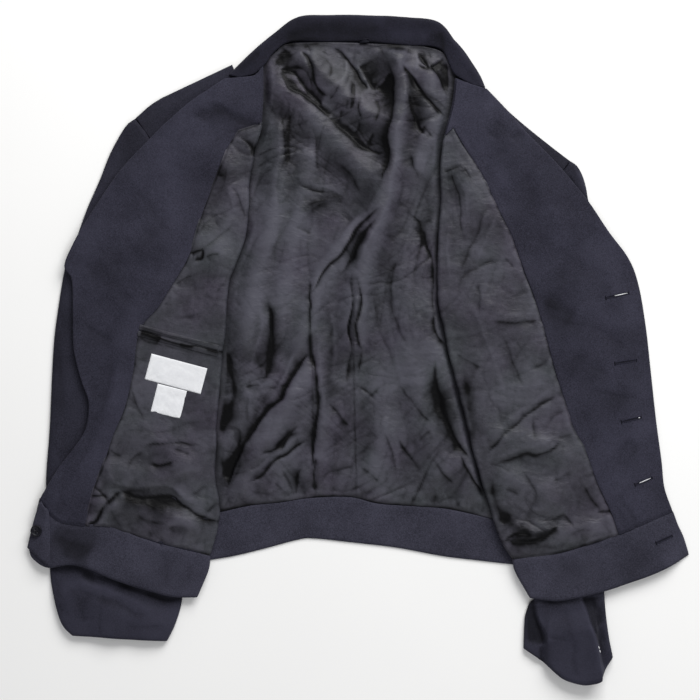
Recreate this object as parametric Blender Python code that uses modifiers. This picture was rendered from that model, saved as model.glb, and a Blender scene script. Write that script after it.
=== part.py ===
"""Ike jacket lying on its back, both fronts opened out with their insides up.

Frame: +X to the right seen from above, +Y towards the collar, +Z up, floor at
z = 0. Tables are in millimetres and meshes are made in metres. From the floor
up the layers are the back shell, the back lining, the folded sides of the
fronts, the front shells, and the facings and linings that lie on them. The
sleeves lie flat under the fronts. Left and right are the wearer's: the right
front lies at -X, and the left front, with the buttonholes, at +X.
"""
from collections import namedtuple

import bmesh
import bpy
import numpy as np

MM = 0.001

# Walls of cloth
SHELL = 1.4
LINING = 1.0
FACING = 1.2
BAND = 2.4
COLLAR = 2.2
LABEL = 1.0
WELT = 1.2

# Air between pieces: at seams and stacked panels, and where two grids differ
GAP = 0.3
SPARE = 0.5
COLLAR_SEAM = 0.9
LINING_SEAM = 1.2
ARMHOLE_SEAM = 0.9

# Heights of the middle of each wall over the floor, away from any fold
BACK_SHELL_Z = SHELL / 2
BACK_LINING_Z = SHELL + SPARE + LINING / 2
SKIN = SHELL / 2 + GAP + LINING / 2
FACING_RISE = SHELL / 2 + GAP + FACING / 2
PLEAT_LINING_Z = BACK_LINING_Z + LINING + SPARE
PLEAT_SHELL_Z = PLEAT_LINING_Z + SKIN
SHELL_ROLL = 1.7
FRONT_Z = PLEAT_SHELL_Z + 2 * SHELL_ROLL
FOLD_REACH = SHELL_ROLL + SKIN + LINING / 2
BACK_BAND_Z = BAND / 2
BAND_UNDER_Z = BAND + SPARE + BAND / 2
BAND_REACH = (FRONT_Z - BAND_UNDER_Z) / 2 + BAND / 2
TURNED_END_RISE = 3.8
STRIP_EDGE_Z = SHELL + SPARE + SHELL / 2
STRIP_INNER_Z = 4.4

# The back and all that lies on it rise over the collar's fall
FALL_Z = COLLAR / 2
NECK_LIFT = 2.6
LIFT_START_Y = 200
LIFT_RAMP_Y = 65
LIFT_HALF_WIDTH = 212
LIFT_RAMP_X = 70

# Rows and columns of the panels
NECK_ROWS = 4
FRONT_ROWS = 17
FACING_COLUMNS = 6
LINING_COLUMNS = 7
ROLL_STEPS = 4
PLEAT_COLUMNS = 2
BAND_ROWS = 3
BACK_COLUMNS = 14
YOKE_ROWS = 7
BODY_ROWS = 7
BACK_LINING_ROWS = 28
BACK_LINING_COLUMNS = 24
COLLAR_STATIONS = 24
COLLAR_COLUMNS = 3
SMOOTH_STEPS = 12

BUTTON_DIAMETER = 12.5
BUTTON_DEPTH = 2.2
BUTTON_RIM = 1.3
BUTTON_DISH = 0.5
BUTTON_SIDES = 16
BUTTON_CLEAR = 0.8
BUTTONHOLE_WIDTH = 1.0
BUTTONHOLE_CUT_DEPTH = 40

NAVY = (0.018, 0.019, 0.034, 1.0)
BLACK_LINING = (0.028, 0.028, 0.031, 1.0)
LABEL_WHITE = (0.80, 0.80, 0.79, 1.0)
BUTTON_DARK = (0.008, 0.008, 0.012, 1.0)

# A finish: base colour and roughness
Finish = namedtuple("Finish", "name colour roughness")
TWILL = Finish("navy_twill", NAVY, 0.82)
SATIN = Finish("black_lining", BLACK_LINING, 0.38)
WOVEN_LABEL = Finish("white_label", LABEL_WHITE, 0.7)
HORN = Finish("dark_button", BUTTON_DARK, 0.25)

# A fold: a soft ridge along a line, with its half width and height
Fold = namedtuple("Fold", "width height line")

# A front as cut and laid: edge lines from the collar end to the waist seam.
# neck_* lines end at the row where the lining starts, body_* lines go on.
Front = namedtuple(
    "Front",
    "name side neck_free body_free neck_guide body_guide neck_fold body_fold neck_pleat body_pleat "
    "gorge_outer gorge_inner seam_outer seam_inner band_end band_low band_inner "
    "edge_line edge_z edge_ramp edge_start edge_gate folds lining_folds",
)

RIGHT_FRONT = Front(
    name="right",
    side=-1,
    neck_free=[(-142, 293), (-158, 282), (-179, 268), (-209, 242)],
    body_free=[
        (-209, 242), (-244, 206), (-264, 181), (-289, 143), (-304, 117), (-314, 92), (-306, 77),
        (-305, 40), (-304, 2), (-296, -31), (-288, -55), (-291, -83), (-303, -103), (-318, -122),
        (-330, -141), (-341, -160),
    ],
    neck_guide=[(-119, 295), (-122, 272), (-126, 237)],
    body_guide=[
        (-126, 237), (-136, 223), (-145, 200), (-164, 153), (-179, 105), (-198, 71), (-213, 47),
        (-233, 22), (-240, -23), (-249, -61), (-262, -92), (-271, -120), (-281, -145), (-292, -188),
    ],
    neck_fold=[(-98, 305), (-98, 279), (-100, 244)],
    body_fold=[
        (-100, 244), (-110, 210), (-115, 178), (-118, 128), (-130, 94), (-138, 66), (-141, 26),
        (-144, -12), (-149, -60), (-151, -105), (-150, -142), (-146, -178), (-157, -219),
    ],
    neck_pleat=[(-115, 300), (-118, 272), (-123, 241)],
    body_pleat=[(-123, 241), (-142, 207), (-164, 164), (-178, 120), (-184, 56), (-186, -40),
                (-182, -160), (-180, -217)],
    gorge_outer=[(-142, 293), (-119, 295)],
    gorge_inner=[(-119, 295), (-109, 297), (-98, 305)],
    seam_outer=[(-341, -160), (-332, -173), (-318, -184), (-292, -188)],
    seam_inner=[(-292, -188), (-264, -189), (-234, -200), (-199, -210), (-157, -219)],
    band_end=[(-341, -160), (-349, -184), (-356, -212)],
    band_low=[(-356, -212), (-349, -222), (-332, -232), (-309, -229), (-289, -233), (-264, -244),
              (-234, -254), (-199, -263), (-171, -264)],
    band_inner=[(-157, -219), (-159, -235), (-171, -264)],
    edge_line=[(-318, -122), (-330, -141), (-341, -160), (-349, -184), (-356, -212)],
    edge_z=3.6,
    edge_ramp=28,
    edge_start=-150,
    edge_gate=50,
    folds=[
        Fold(18, 4.0, [(-214, 62), (-240, 38), (-252, 12), (-258, -31), (-268, -66), (-280, -100),
                       (-304, -140), (-322, -160)]),
        Fold(22, 4.0, [(-158, 212), (-196, 216), (-236, 188)]),
        Fold(20, 3.0, [(-148, 272), (-192, 246)]),
        Fold(32, 2.5, [(-196, 128), (-268, 88)]),
    ],
    lining_folds=[
        Fold(14, 3.5, [(-140, 200), (-136, 172)]),
        Fold(15, 3.0, [(-168, 128), (-150, 104)]),
        Fold(14, 4.5, [(-262, -128), (-222, -134), (-186, -122)]),
        Fold(13, 5.0, [(-274, -160), (-232, -168), (-184, -186)]),
        Fold(15, 3.0, [(-236, -92), (-200, -104)]),
    ],
)

LEFT_FRONT = Front(
    name="left",
    side=1,
    neck_free=[(140, 282), (159, 262), (182, 236)],
    body_free=[
        (182, 236), (199, 219), (220, 197), (248, 163), (271, 129), (293, 100), (304, 72),
        (312, 26), (317, -19), (323, -74), (329, -119), (332, -147), (341, -173),
    ],
    neck_guide=[(123, 287), (115, 259), (109, 232)],
    body_guide=[
        (109, 232), (119, 215), (134, 191), (150, 158), (167, 123), (180, 87), (192, 55), (202, 22),
        (214, -23), (224, -53), (233, -82), (245, -104), (258, -140), (273, -172), (282, -197),
    ],
    neck_fold=[(104, 293), (101, 266), (92, 232)],
    body_fold=[
        (92, 232), (89, 191), (90, 160), (87, 115), (88, 52), (99, -1), (108, -35), (119, -82),
        (131, -129), (144, -172), (157, -205), (167, -223),
    ],
    neck_pleat=[(123, 282), (120, 259), (116, 232)],
    body_pleat=[(116, 232), (131, 174), (140, 120), (141, 52), (146, -1), (153, -52), (160, -96),
                (166, -139), (171, -182), (177, -221)],
    gorge_outer=[(140, 282), (123, 287)],
    gorge_inner=[(123, 287), (104, 293)],
    seam_outer=[(341, -173), (308, -186), (282, -197)],
    seam_inner=[(282, -197), (245, -209), (212, -218), (167, -223)],
    band_end=[(341, -173), (346, -187), (352, -200), (358, -219)],
    band_low=[(358, -219), (341, -229), (320, -239), (295, -248), (265, -258), (240, -264),
              (214, -268), (186, -265)],
    band_inner=[(167, -223), (171, -238), (186, -265)],
    edge_line=[
        (271, 129), (293, 100), (304, 72), (312, 26), (317, -19), (323, -74), (329, -119),
        (332, -147), (341, -173), (352, -200), (358, -219),
    ],
    edge_z=1.6,
    edge_ramp=30,
    edge_start=137,
    edge_gate=65,
    folds=[
        Fold(26, 3.0, [(146, 238), (196, 186), (222, 140)]),
        Fold(30, 2.5, [(228, 70), (250, -10), (262, -70)]),
        Fold(20, 3.0, [(262, -118), (290, -165), (300, -205)]),
    ],
    lining_folds=[
        Fold(13, 3.0, [(118, 190), (134, 146)]),
        Fold(15, 3.0, [(140, 44), (176, 24)]),
        Fold(14, 3.5, [(150, -92), (190, -98), (222, -112)]),
        Fold(13, 4.5, [(176, -196), (214, -200), (252, -190)]),
        Fold(15, 3.5, [(170, -140), (214, -158)]),
    ],
)

# The back: the shoulder and neck line, armholes, side seams and waist seam
BACK_TOP = [
    (-239, 251), (-219, 268), (-196, 280), (-168, 290), (-148, 292), (-132, 291), (-117, 303),
    (-103, 315), (-88, 323), (-70, 333), (8, 333), (90, 325), (103, 313), (116, 301), (126, 288),
    (136, 274), (150, 266), (167, 254), (192, 235), (212, 219), (231, 205),
]
RIGHT_ARMHOLE = [(-239, 251), (-222, 227), (-209, 185), (-204, 136)]
LEFT_ARMHOLE = [(231, 205), (221, 192), (211, 174), (202, 151), (198, 125)]
BACK_RIGHT_ARMHOLE = [(-239, 251), (-222, 227), (-209, 185), (-197, 138)]
BACK_LEFT_ARMHOLE = [(231, 205), (220, 192), (209, 174), (199, 151), (190, 127)]
RIGHT_SIDE_SEAM = [(-197, 138), (-190, 99), (-188, 56), (-190, 2), (-188, -85), (-185, -150), (-182, -182)]
LEFT_SIDE_SEAM = [(190, 127), (168, 88), (156, 45), (155, -1), (159, -52), (165, -96), (169, -139),
                  (173, -188)]
WAIST_SEAM = [(-182, -182), (-141, -172), (-113, -166), (-83, -163), (-50, -158), (-7, -157), (23, -164),
              (63, -167), (99, -170), (144, -180), (173, -188)]
BACK_HEM = [(-178, -228), (-157, -224), (-133, -220), (-100, -212), (-62, -202), (-45, -201), (-7, -205),
            (44, -211), (93, -220), (134, -225), (177, -230)]
NECK_SEAM = [(-98, 309), (-88, 322), (-70, 332), (8, 332), (90, 324), (103, 298)]
LINING_INSET = 3
LINING_EDGE_SHARE = 0.05
FOLD_EDGE_CLEAR = 4
FOLD_EDGE_RAMP = 16
BACK_FOLDS = [
    Fold(15, 11, [(44, 314), (48, 279), (44, 238), (33, 178), (14, 115), (0, 60), (-2, 10)]),
    Fold(17, 9, [(-82, 286), (-55, 258), (-18, 222), (10, 192)]),
    Fold(16, 9, [(-50, 308), (-14, 276), (22, 248)]),
    Fold(14, 8, [(-82, 236), (-84, 180), (-98, 120), (-112, 66), (-120, 10)]),
    Fold(15, 6, [(-52, 206), (-62, 150), (-76, 90), (-84, 30)]),
    Fold(14, 7, [(18, 152), (-18, 108), (-46, 60), (-60, 10)]),
    Fold(14, 8, [(78, 300), (80, 244), (66, 196)]),
    Fold(15, 8, [(-30, 2), (-68, -48), (-100, -100), (-122, -146)]),
    Fold(14, 6, [(-18, -38), (-34, -90), (-48, -136)]),
    Fold(18, 6, [(54, 108), (58, 20), (70, -60), (92, -124)]),
    Fold(16, 5, [(20, -26), (28, -90), (18, -136)]),
    Fold(14, 5, [(76, 92), (84, 10), (104, -70), (124, -150)]),
]

# Shoulder ends of the fronts: the outer cloth that shows past the opened edge
Shoulder = namedtuple("Shoulder", "name top low")
SHOULDERS = [
    Shoulder("right", [(-239, 251), (-219, 268), (-196, 280), (-166, 294), (-141, 305)],
             [(-222, 227), (-207, 237), (-180, 252), (-153, 267), (-130, 280)]),
    Shoulder("left", [(231, 205), (212, 219), (192, 235), (167, 256), (155, 268)],
             [(215, 183), (204, 194), (182, 212), (160, 234), (142, 250)]),
]
SHOULDER_COLUMNS = 8
SHOULDER_ROWS = [(0, STRIP_EDGE_Z), (0.35, STRIP_INNER_Z), (1, STRIP_INNER_Z)]

# Sleeves: edge lines in plan, and heights across the cuff as shares of the width
CuffPoint = namedtuple("CuffPoint", "share height")
Sleeve = namedtuple("Sleeve", "name outer inner armhole cuff_end covered_by height cuff_heights")
SLEEVES = [
    Sleeve(
        name="right",
        outer=[
            (-239, 251), (-249, 243), (-265, 215), (-277, 185), (-291, 153), (-304, 117), (-314, 92),
            (-322, 45), (-327, 2), (-331, -82), (-335, -147), (-331, -232), (-327, -258), (-320, -285),
            (-307, -306),
        ],
        inner=[(-204, 136), (-200, 99), (-198, 56), (-199, 2), (-197, -85), (-193, -160), (-188, -225),
               (-188, -266), (-195, -293), (-204, -312)],
        armhole=RIGHT_ARMHOLE,
        cuff_end=[(-307, -306), (-273, -308), (-246, -310), (-204, -312)],
        covered_by=RIGHT_FRONT,
        height=5.0,
        cuff_heights=[CuffPoint(0.0, 8.0), CuffPoint(0.22, 9.0), CuffPoint(0.42, 11.5),
                      CuffPoint(0.6, 9.0), CuffPoint(0.8, 10.5), CuffPoint(1.0, 8.0)],
    ),
    Sleeve(
        name="left",
        outer=[
            (231, 205), (238, 200), (244, 189), (248, 175), (250, 163), (257, 137), (261, 99),
            (263, 56), (264, 2), (265, -74), (266, -160), (266, -225), (268, -272), (273, -307), (279, -331),
        ],
        inner=[(198, 125), (181, 77), (172, 34), (170, 2), (170, -74), (174, -139), (181, -182),
               (188, -225), (192, -262), (186, -272), (182, -284), (181, -292), (180, -321)],
        armhole=LEFT_ARMHOLE,
        cuff_end=[(279, -331), (267, -350), (264, -358), (254, -361), (242, -362), (222, -356), (202, -338),
                  (180, -321)],
        covered_by=LEFT_FRONT,
        height=7.0,
        cuff_heights=[CuffPoint(0.0, 8.0), CuffPoint(0.12, 9.0), CuffPoint(0.2, 19.0), CuffPoint(0.35, 17.0),
                      CuffPoint(0.55, 14.0), CuffPoint(0.72, 13.5), CuffPoint(0.8, 8.0), CuffPoint(1.0, 7.0)],
    ),
]
SLEEVE_TOP_SHARES = [0.03, 0.12, 0.2, 0.35, 0.55, 0.72, 0.8, 0.97]
SLEEVE_UNDER_SHARES = [0.97, 0.66, 0.34, 0.03]
SLEEVE_ROW_SHARES = [0, 0.02, 0.045, 0.075, 0.12, 0.24, 0.36, 0.48, 0.6, 0.7, 0.77, 0.81, 0.84, 0.87, 0.9,
                     0.93, 0.965, 1]
CUFF_CLEAR = 12
CUFF_RAMP = 26

# The collar along its length: the seam line inside, the roll line outside
COLLAR_INNER = [(-126, 294), (-109, 299), (-98, 310), (-88, 323), (-70, 334), (-29, 334), (8, 334),
                (52, 330), (90, 326), (105, 299), (127, 285)]
COLLAR_OUTER = [(-138, 298), (-124, 312), (-106, 329), (-88, 344), (-63, 361), (-29, 363), (4, 363),
                (47, 361), (87, 356), (106, 336), (119, 320), (133, 298), (139, 284)]
CollarPoint = namedtuple("CollarPoint", "share seam_z roll_z fall")
COLLAR_SHAPE = [
    CollarPoint(0.0, 10.8, 10.8, 14),
    CollarPoint(0.12, 9.5, 9.8, 24),
    CollarPoint(0.24, 6.4, 8.4, 40),
    CollarPoint(0.5, 5.4, 7.9, 50),
    CollarPoint(0.76, 6.4, 8.4, 40),
    CollarPoint(0.88, 9.5, 9.8, 24),
    CollarPoint(1.0, 10.8, 10.8, 14),
]

# Small pieces on the right front's lining and on the fronts' edges
Strip = namedtuple("Strip", "name start end width wall finish")
WELTS = [
    Strip("pocket_welt_upper", (-233, 27.5), (-153, 4.5), 5.5, WELT, SATIN),
    Strip("pocket_welt_lower", (-235, 20.5), (-155, -2.5), 5.5, WELT, SATIN),
]
LABELS = [
    Strip("brand_label", (-224, -16), (-164, -32), 28.5, LABEL, WOVEN_LABEL),
    Strip("care_label", (-218.5, -49.5), (-187, -57.5), 31, LABEL, WOVEN_LABEL),
]
STRIP_COLUMNS = 6
STRIP_ROWS = 2
STRIP_CLEAR = 0.6
Slit = namedtuple("Slit", "name inner outer")
FRONT_BUTTONHOLES = [
    Slit("front_1", (269, 58), (290, 62)),
    Slit("front_2", (278, -13), (300, -9)),
    Slit("front_3", (285, -75), (306, -71)),
    Slit("front_4", (299, -143), (318, -136)),
]
BAND_BUTTONHOLE = Slit("band", (323, -206), (340, -199))
BAND_BUTTON = (-346, -194)
TURNED_END_EDGE = [(-331, -170), (-330, -193), (-330, -231)]
TURNED_END_COLUMNS = 3
TURNED_END_CLEAR = 1.0
HIDDEN_BUTTONS = [(-286, 58), (-286, -7), (-272, -72), (-307, -132)]


# ---------------------------------------------------------------- lines and grids
def dense_line(points):
    """Many points on a smooth curve through the given ones."""
    given = np.array(points, dtype=float)
    ends = np.vstack([2 * given[0] - given[1], given, 2 * given[-1] - given[-2]])
    dense = []
    for i in range(1, len(ends) - 2):
        before, start, end, after = ends[i - 1:i + 3]
        for u in np.linspace(0, 1, SMOOTH_STEPS, endpoint=False):
            slope = (end - before) * u
            bend = (2 * before - 5 * start + 4 * end - after) * u * u
            cubic = (3 * start - before - 3 * end + after) * u * u * u
            dense.append(0.5 * (2 * start + slope + bend + cubic))
    dense.append(given[-1])
    return np.array(dense)


def line_at(points, shares):
    """Points at the given shares of a smooth curve's length."""
    dense = dense_line(points)
    steps = np.linalg.norm(np.diff(dense, axis=0), axis=1)
    run = np.concatenate([[0], np.cumsum(steps)])
    where = np.asarray(shares) * run[-1]
    return np.column_stack([np.interp(where, run, dense[:, axis]) for axis in (0, 1)])


def even(count):
    """Evenly spaced shares from 0 to 1, with count steps."""
    return np.linspace(0, 1, count + 1)


def straight(start, end, shares):
    """Points at the given shares of a straight run."""
    shares = np.asarray(shares)[:, None]
    return (1 - shares) * np.asarray(start) + shares * np.asarray(end)


def offset(line, distance):
    """A line of points moved sideways, to the left of its own direction."""
    heading = np.gradient(line, axis=0)
    heading /= np.linalg.norm(heading, axis=1)[:, None]
    return line + distance * np.column_stack([-heading[:, 1], heading[:, 0]])


def patch(top, bottom, left, right, across, down):
    """Plan grid filled between four edge lines that meet at the corners."""
    s = np.asarray(across)[None, :, None]
    t = np.asarray(down)[:, None, None]
    between_sides = (1 - s) * left[:, None] + s * right[:, None]
    between_ends = (1 - t) * top[None] + t * bottom[None]
    upper = (1 - s) * top[0] + s * top[-1]
    lower = (1 - s) * bottom[0] + s * bottom[-1]
    return between_sides + between_ends - (1 - t) * upper - t * lower


def soft_step(x):
    """Smooth rise from 0 to 1 as x goes from 0 to 1."""
    x = np.clip(x, 0, 1)
    return x * x * (3 - 2 * x)


def distance_to(line, x, y):
    """Shortest plan distance from each (x, y) to a line of points."""
    nearest = np.full(np.shape(x), np.inf)
    for (ax, ay), (bx, by) in zip(line[:-1], line[1:]):
        dx, dy = bx - ax, by - ay
        share = np.clip(((x - ax) * dx + (y - ay) * dy) / (dx * dx + dy * dy), 0, 1)
        nearest = np.minimum(nearest, np.hypot(x - ax - share * dx, y - ay - share * dy))
    return nearest


def fold_height(folds, x, y):
    """Height that a list of folds adds at each (x, y)."""
    total = np.zeros(np.shape(x))
    for fold in folds:
        total += fold.height * np.exp(-(distance_to(fold.line, x, y) / fold.width) ** 2)
    return total


def neck_lift(x, y):
    """Rise of the back, and all on it, over the collar's fall."""
    sides = soft_step((x + LIFT_HALF_WIDTH) / LIFT_RAMP_X) * soft_step((LIFT_HALF_WIDTH - x) / LIFT_RAMP_X)
    return NECK_LIFT * sides * soft_step((y - LIFT_START_Y) / LIFT_RAMP_Y)


def front_height(front, x, y):
    """Middle of a front's shell over the floor: flat on the sleeve, its edge falling away."""
    near_edge = soft_step(1 - distance_to(front.edge_line, x, y) / front.edge_ramp)
    gate = soft_step((front.edge_start - y) / front.edge_gate)
    folds = fold_height(front.folds, x, y) * (1 - near_edge * gate)
    return FRONT_Z - (FRONT_Z - front.edge_z) * near_edge * gate + folds + neck_lift(x, y)


def front_lining_height(front, x, y):
    """Middle of a front's lining, on its shell."""
    return front_height(front, x, y) + SKIN + fold_height(front.lining_folds, x, y)


def raised(plan, heights):
    """A plan grid with its heights as the third coordinate."""
    return np.concatenate([plan, np.asarray(heights)[..., None]], axis=-1)


def level(plan, z):
    """A plan grid at one height, with the neck lift added."""
    return raised(plan, z + neck_lift(plan[..., 0], plan[..., 1]))


# ---------------------------------------------------------------- making objects
def clear_scene():
    for item in list(bpy.data.objects):
        bpy.data.objects.remove(item, do_unlink=True)


def collection(name):
    made = bpy.data.collections.new(name)
    bpy.context.scene.collection.children.link(made)
    return made


def material(finish):
    """The finish's material, made once."""
    made = bpy.data.materials.get(finish.name)
    if made is None:
        made = bpy.data.materials.new(finish.name)
        made.use_nodes = True
        shader = made.node_tree.nodes["Principled BSDF"]
        shader.inputs["Base Color"].default_value = finish.colour
        shader.inputs["Roughness"].default_value = finish.roughness
    return made


def add_object(jacket, name, mesh, finish):
    """An object with its finish, in the jacket's collection and under its empty."""
    mesh.materials.append(material(finish))
    item = bpy.data.objects.new(name, mesh)
    item.parent = jacket.root
    jacket.pieces.objects.link(item)
    return item


def grid_mesh(name, grid, kept=None, closed=False):
    """A mesh of the cells of a grid of points; a closed grid joins its ends both ways."""
    rows, columns = grid.shape[:2]
    row_cells, column_cells = (rows, columns) if closed else (rows - 1, columns - 1)
    faces = []
    for row in range(row_cells):
        for column in range(column_cells):
            if kept is not None and not kept[row, column]:
                continue
            below, after = (row + 1) % rows, (column + 1) % columns
            faces.append((row * columns + column, below * columns + column,
                          below * columns + after, row * columns + after))
    mesh = bpy.data.meshes.new(name)
    mesh.from_pydata([tuple(point) for point in grid.reshape(-1, 3) * MM], [], faces)
    shape = bmesh.new()
    shape.from_mesh(mesh)
    bmesh.ops.delete(shape, geom=[v for v in shape.verts if not v.link_faces], context="VERTS")
    shape.to_mesh(mesh)
    shape.free()
    mesh.shade_smooth()
    return mesh


def cloth(jacket, name, grid, wall, finish, kept=None):
    """A closed wall of even thickness about a grid of middle points; kept marks its cells of cloth."""
    item = add_object(jacket, name, grid_mesh(name, grid, kept), finish)
    triangles = item.modifiers.new("triangles", "TRIANGULATE")
    triangles.quad_method = "FIXED"
    solidify = item.modifiers.new("wall", "SOLIDIFY")
    solidify.thickness = wall * MM
    solidify.offset = 0
    solidify.use_even_offset = True
    return item


def tube(jacket, name, outside, inside, finish):
    """An open-ended tube between two stacks of rings: down the outside, back up the inside."""
    grid = np.concatenate([outside, inside[::-1]])
    return add_object(jacket, name, grid_mesh(name, grid, closed=True), finish)


def resting_plane(height, x, y):
    """Height of a surface under a button, and its tilt about X and Y."""
    reach = BUTTON_DIAMETER / 2
    slope_x = (height(x + reach, y) - height(x - reach, y)) / (2 * reach)
    slope_y = (height(x, y + reach) - height(x, y - reach)) / (2 * reach)
    return float(height(x, y)), float(np.arctan(slope_y)), float(-np.arctan(slope_x))


def button(jacket, name, x, y, z, tilt_x, tilt_y):
    """A turned button with a raised rim, the middle of its underside at height z."""
    outer = BUTTON_DIAMETER / 2
    dish = outer - BUTTON_RIM
    low = BUTTON_DEPTH - BUTTON_DISH
    profile = [(0, low), (dish - BUTTON_DISH, low), (dish, BUTTON_DEPTH), (outer - BUTTON_DISH, BUTTON_DEPTH),
               (outer, low), (outer - BUTTON_DISH, 0), (0, 0)]
    mesh = bpy.data.meshes.new(name)
    edges = [(i, i + 1) for i in range(len(profile) - 1)]
    mesh.from_pydata([(r * MM, 0, h * MM) for r, h in profile], edges, [])
    item = add_object(jacket, name, mesh, HORN)
    item.location = (x * MM, y * MM, z * MM)
    item.rotation_euler = (tilt_x, tilt_y, 0)
    turn = item.modifiers.new("turn", "SCREW")
    turn.steps = BUTTON_SIDES
    turn.render_steps = BUTTON_SIDES
    turn.use_merge_vertices = True
    turn.merge_threshold = 0.00001
    turn.use_smooth_shade = True
    return item


def slit_cutter(jacket, slit):
    """A thin upright blade that cuts one buttonhole."""
    start, end = np.array(slit.inner), np.array(slit.outer)
    middle = (start + end) / 2
    shape = bmesh.new()
    bmesh.ops.create_cube(shape, size=1.0)
    length = float(np.linalg.norm(end - start))
    bmesh.ops.scale(shape, verts=shape.verts,
                    vec=(length * MM, BUTTONHOLE_WIDTH * MM, BUTTONHOLE_CUT_DEPTH * MM))
    mesh = bpy.data.meshes.new("slit_" + slit.name)
    shape.to_mesh(mesh)
    shape.free()
    cutter = bpy.data.objects.new("slit_" + slit.name, mesh)
    cutter.location = (middle[0] * MM, middle[1] * MM, 0)
    cutter.rotation_euler.z = float(np.arctan2(end[1] - start[1], end[0] - start[0]))
    cutter.hide_render = True
    cutter.display_type = "WIRE"
    cutter.parent = jacket.root
    jacket.cutters.objects.link(cutter)
    return cutter


def cut_slits(item, cutters):
    """Cut buttonholes through a piece."""
    for cutter in cutters:
        cut = item.modifiers.new("buttonhole", "BOOLEAN")
        cut.operation = "DIFFERENCE"
        cut.object = cutter


# ---------------------------------------------------------------- the back
def build_back(jacket):
    """Back shell with its yoke, the lining with its folds, and the waistband."""
    across = even(BACK_COLUMNS)
    underarm = straight(BACK_RIGHT_ARMHOLE[-1], BACK_LEFT_ARMHOLE[-1], across)
    yoke = patch(line_at(BACK_TOP, across), underarm, line_at(BACK_RIGHT_ARMHOLE, even(YOKE_ROWS)),
                 line_at(BACK_LEFT_ARMHOLE, even(YOKE_ROWS)), across, even(YOKE_ROWS))
    yoke[:, 0, 0] += ARMHOLE_SEAM
    yoke[:, -1, 0] -= ARMHOLE_SEAM
    waist = line_at(WAIST_SEAM, across)
    body = patch(underarm, waist, line_at(RIGHT_SIDE_SEAM, even(BODY_ROWS)),
                 line_at(LEFT_SIDE_SEAM, even(BODY_ROWS)), across, even(BODY_ROWS))
    plan = np.vstack([yoke, body[1:]])
    cloth(jacket, "back_shell", level(plan, BACK_SHELL_Z), SHELL, TWILL)

    down = even(BACK_LINING_ROWS)
    across = even(BACK_LINING_COLUMNS)
    right_edge = np.array(RIGHT_FRONT.neck_pleat + RIGHT_FRONT.body_pleat[1:-1] + RIGHT_SIDE_SEAM[-1:])
    left_edge = np.array(LEFT_FRONT.neck_pleat + LEFT_FRONT.body_pleat[1:-1] + LEFT_SIDE_SEAM[-1:])
    right_edge = line_at(right_edge + (LINING_INSET, 0), down)
    left_edge = line_at(left_edge - (LINING_INSET, 0), down)
    neck = [tuple(right_edge[0])] + NECK_SEAM[1:-1] + [tuple(left_edge[0])]
    seam = line_at(WAIST_SEAM, across)
    seam[0, 0], seam[-1, 0] = right_edge[-1, 0], left_edge[-1, 0]
    seam[:, 1] += LINING_SEAM
    right_edge[-1], left_edge[-1] = seam[0], seam[-1]
    plan = patch(line_at(neck, across), seam, right_edge, left_edge, across, down)
    x, y = plan[..., 0], plan[..., 1]
    ends = soft_step(down / LINING_EDGE_SHARE) * soft_step((1 - down) / LINING_EDGE_SHARE)
    folds = fold_height(BACK_FOLDS, x, y) * fold_mask(x, y) * ends[:, None]
    heights = BACK_LINING_Z + neck_lift(x, y) + folds
    cloth(jacket, "back_lining", raised(plan, heights), LINING, SATIN)

    seam = offset(waist, -GAP)
    across = even(BACK_COLUMNS)
    down = even(BAND_ROWS)
    band = patch(seam, line_at(BACK_HEM, across), straight(seam[0], BACK_HEM[0], down),
                 straight(seam[-1], BACK_HEM[-1], down), across, down)
    cloth(jacket, "back_waistband", level(band, BACK_BAND_Z), BAND, TWILL)


def fold_mask(x, y):
    """1 on the part of the back lining that shows, 0 under the fronts' folded edges."""
    mask = np.ones(np.shape(x))
    for front in (RIGHT_FRONT, LEFT_FRONT):
        edge = np.array(front.neck_fold + front.body_fold[1:])[::-1]
        inside = -front.side * (x - np.interp(y, edge[:, 1], edge[:, 0]))
        mask *= soft_step((inside - FOLD_EDGE_CLEAR) / FOLD_EDGE_RAMP)
    return mask


# ---------------------------------------------------------------- the fronts
def front_plan(front):
    """Plan grid of a front up to its folded side, and the ends of its hidden pleat."""
    neck, body = even(NECK_ROWS), even(FRONT_ROWS)
    outer, inner = even(FACING_COLUMNS), even(LINING_COLUMNS)
    shift = (front.side * FOLD_REACH, 0)
    free = [line_at(front.neck_free, neck), line_at(front.body_free, body)]
    guide = [line_at(front.neck_guide, neck), line_at(front.body_guide, body)]
    fold = [line_at(front.neck_fold, neck) + shift, line_at(front.body_fold, body) + shift]
    gorge_inner = front.gorge_inner[:-1] + [tuple(fold[0][0])]
    seam_inner = front.seam_inner[:-1] + [tuple(fold[1][-1])]
    middle_outer = straight(free[1][0], guide[1][0], outer)
    middle_inner = straight(guide[1][0], fold[1][0], inner)
    facing = [patch(line_at(front.gorge_outer, outer), middle_outer, free[0], guide[0], outer, neck),
              patch(middle_outer, line_at(front.seam_outer, outer), free[1], guide[1], outer, body)]
    lining = [patch(line_at(gorge_inner, inner), middle_inner, guide[0], fold[0], inner, neck),
              patch(middle_inner, line_at(seam_inner, inner), guide[1], fold[1], inner, body)]
    facing = np.vstack([facing[0], facing[1][1:]])
    lining = np.vstack([lining[0], lining[1][1:]])
    pleat = np.vstack([line_at(front.neck_pleat, neck), line_at(front.body_pleat, body)[1:]])
    return np.hstack([facing, lining[:, 1:]]), pleat


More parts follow.
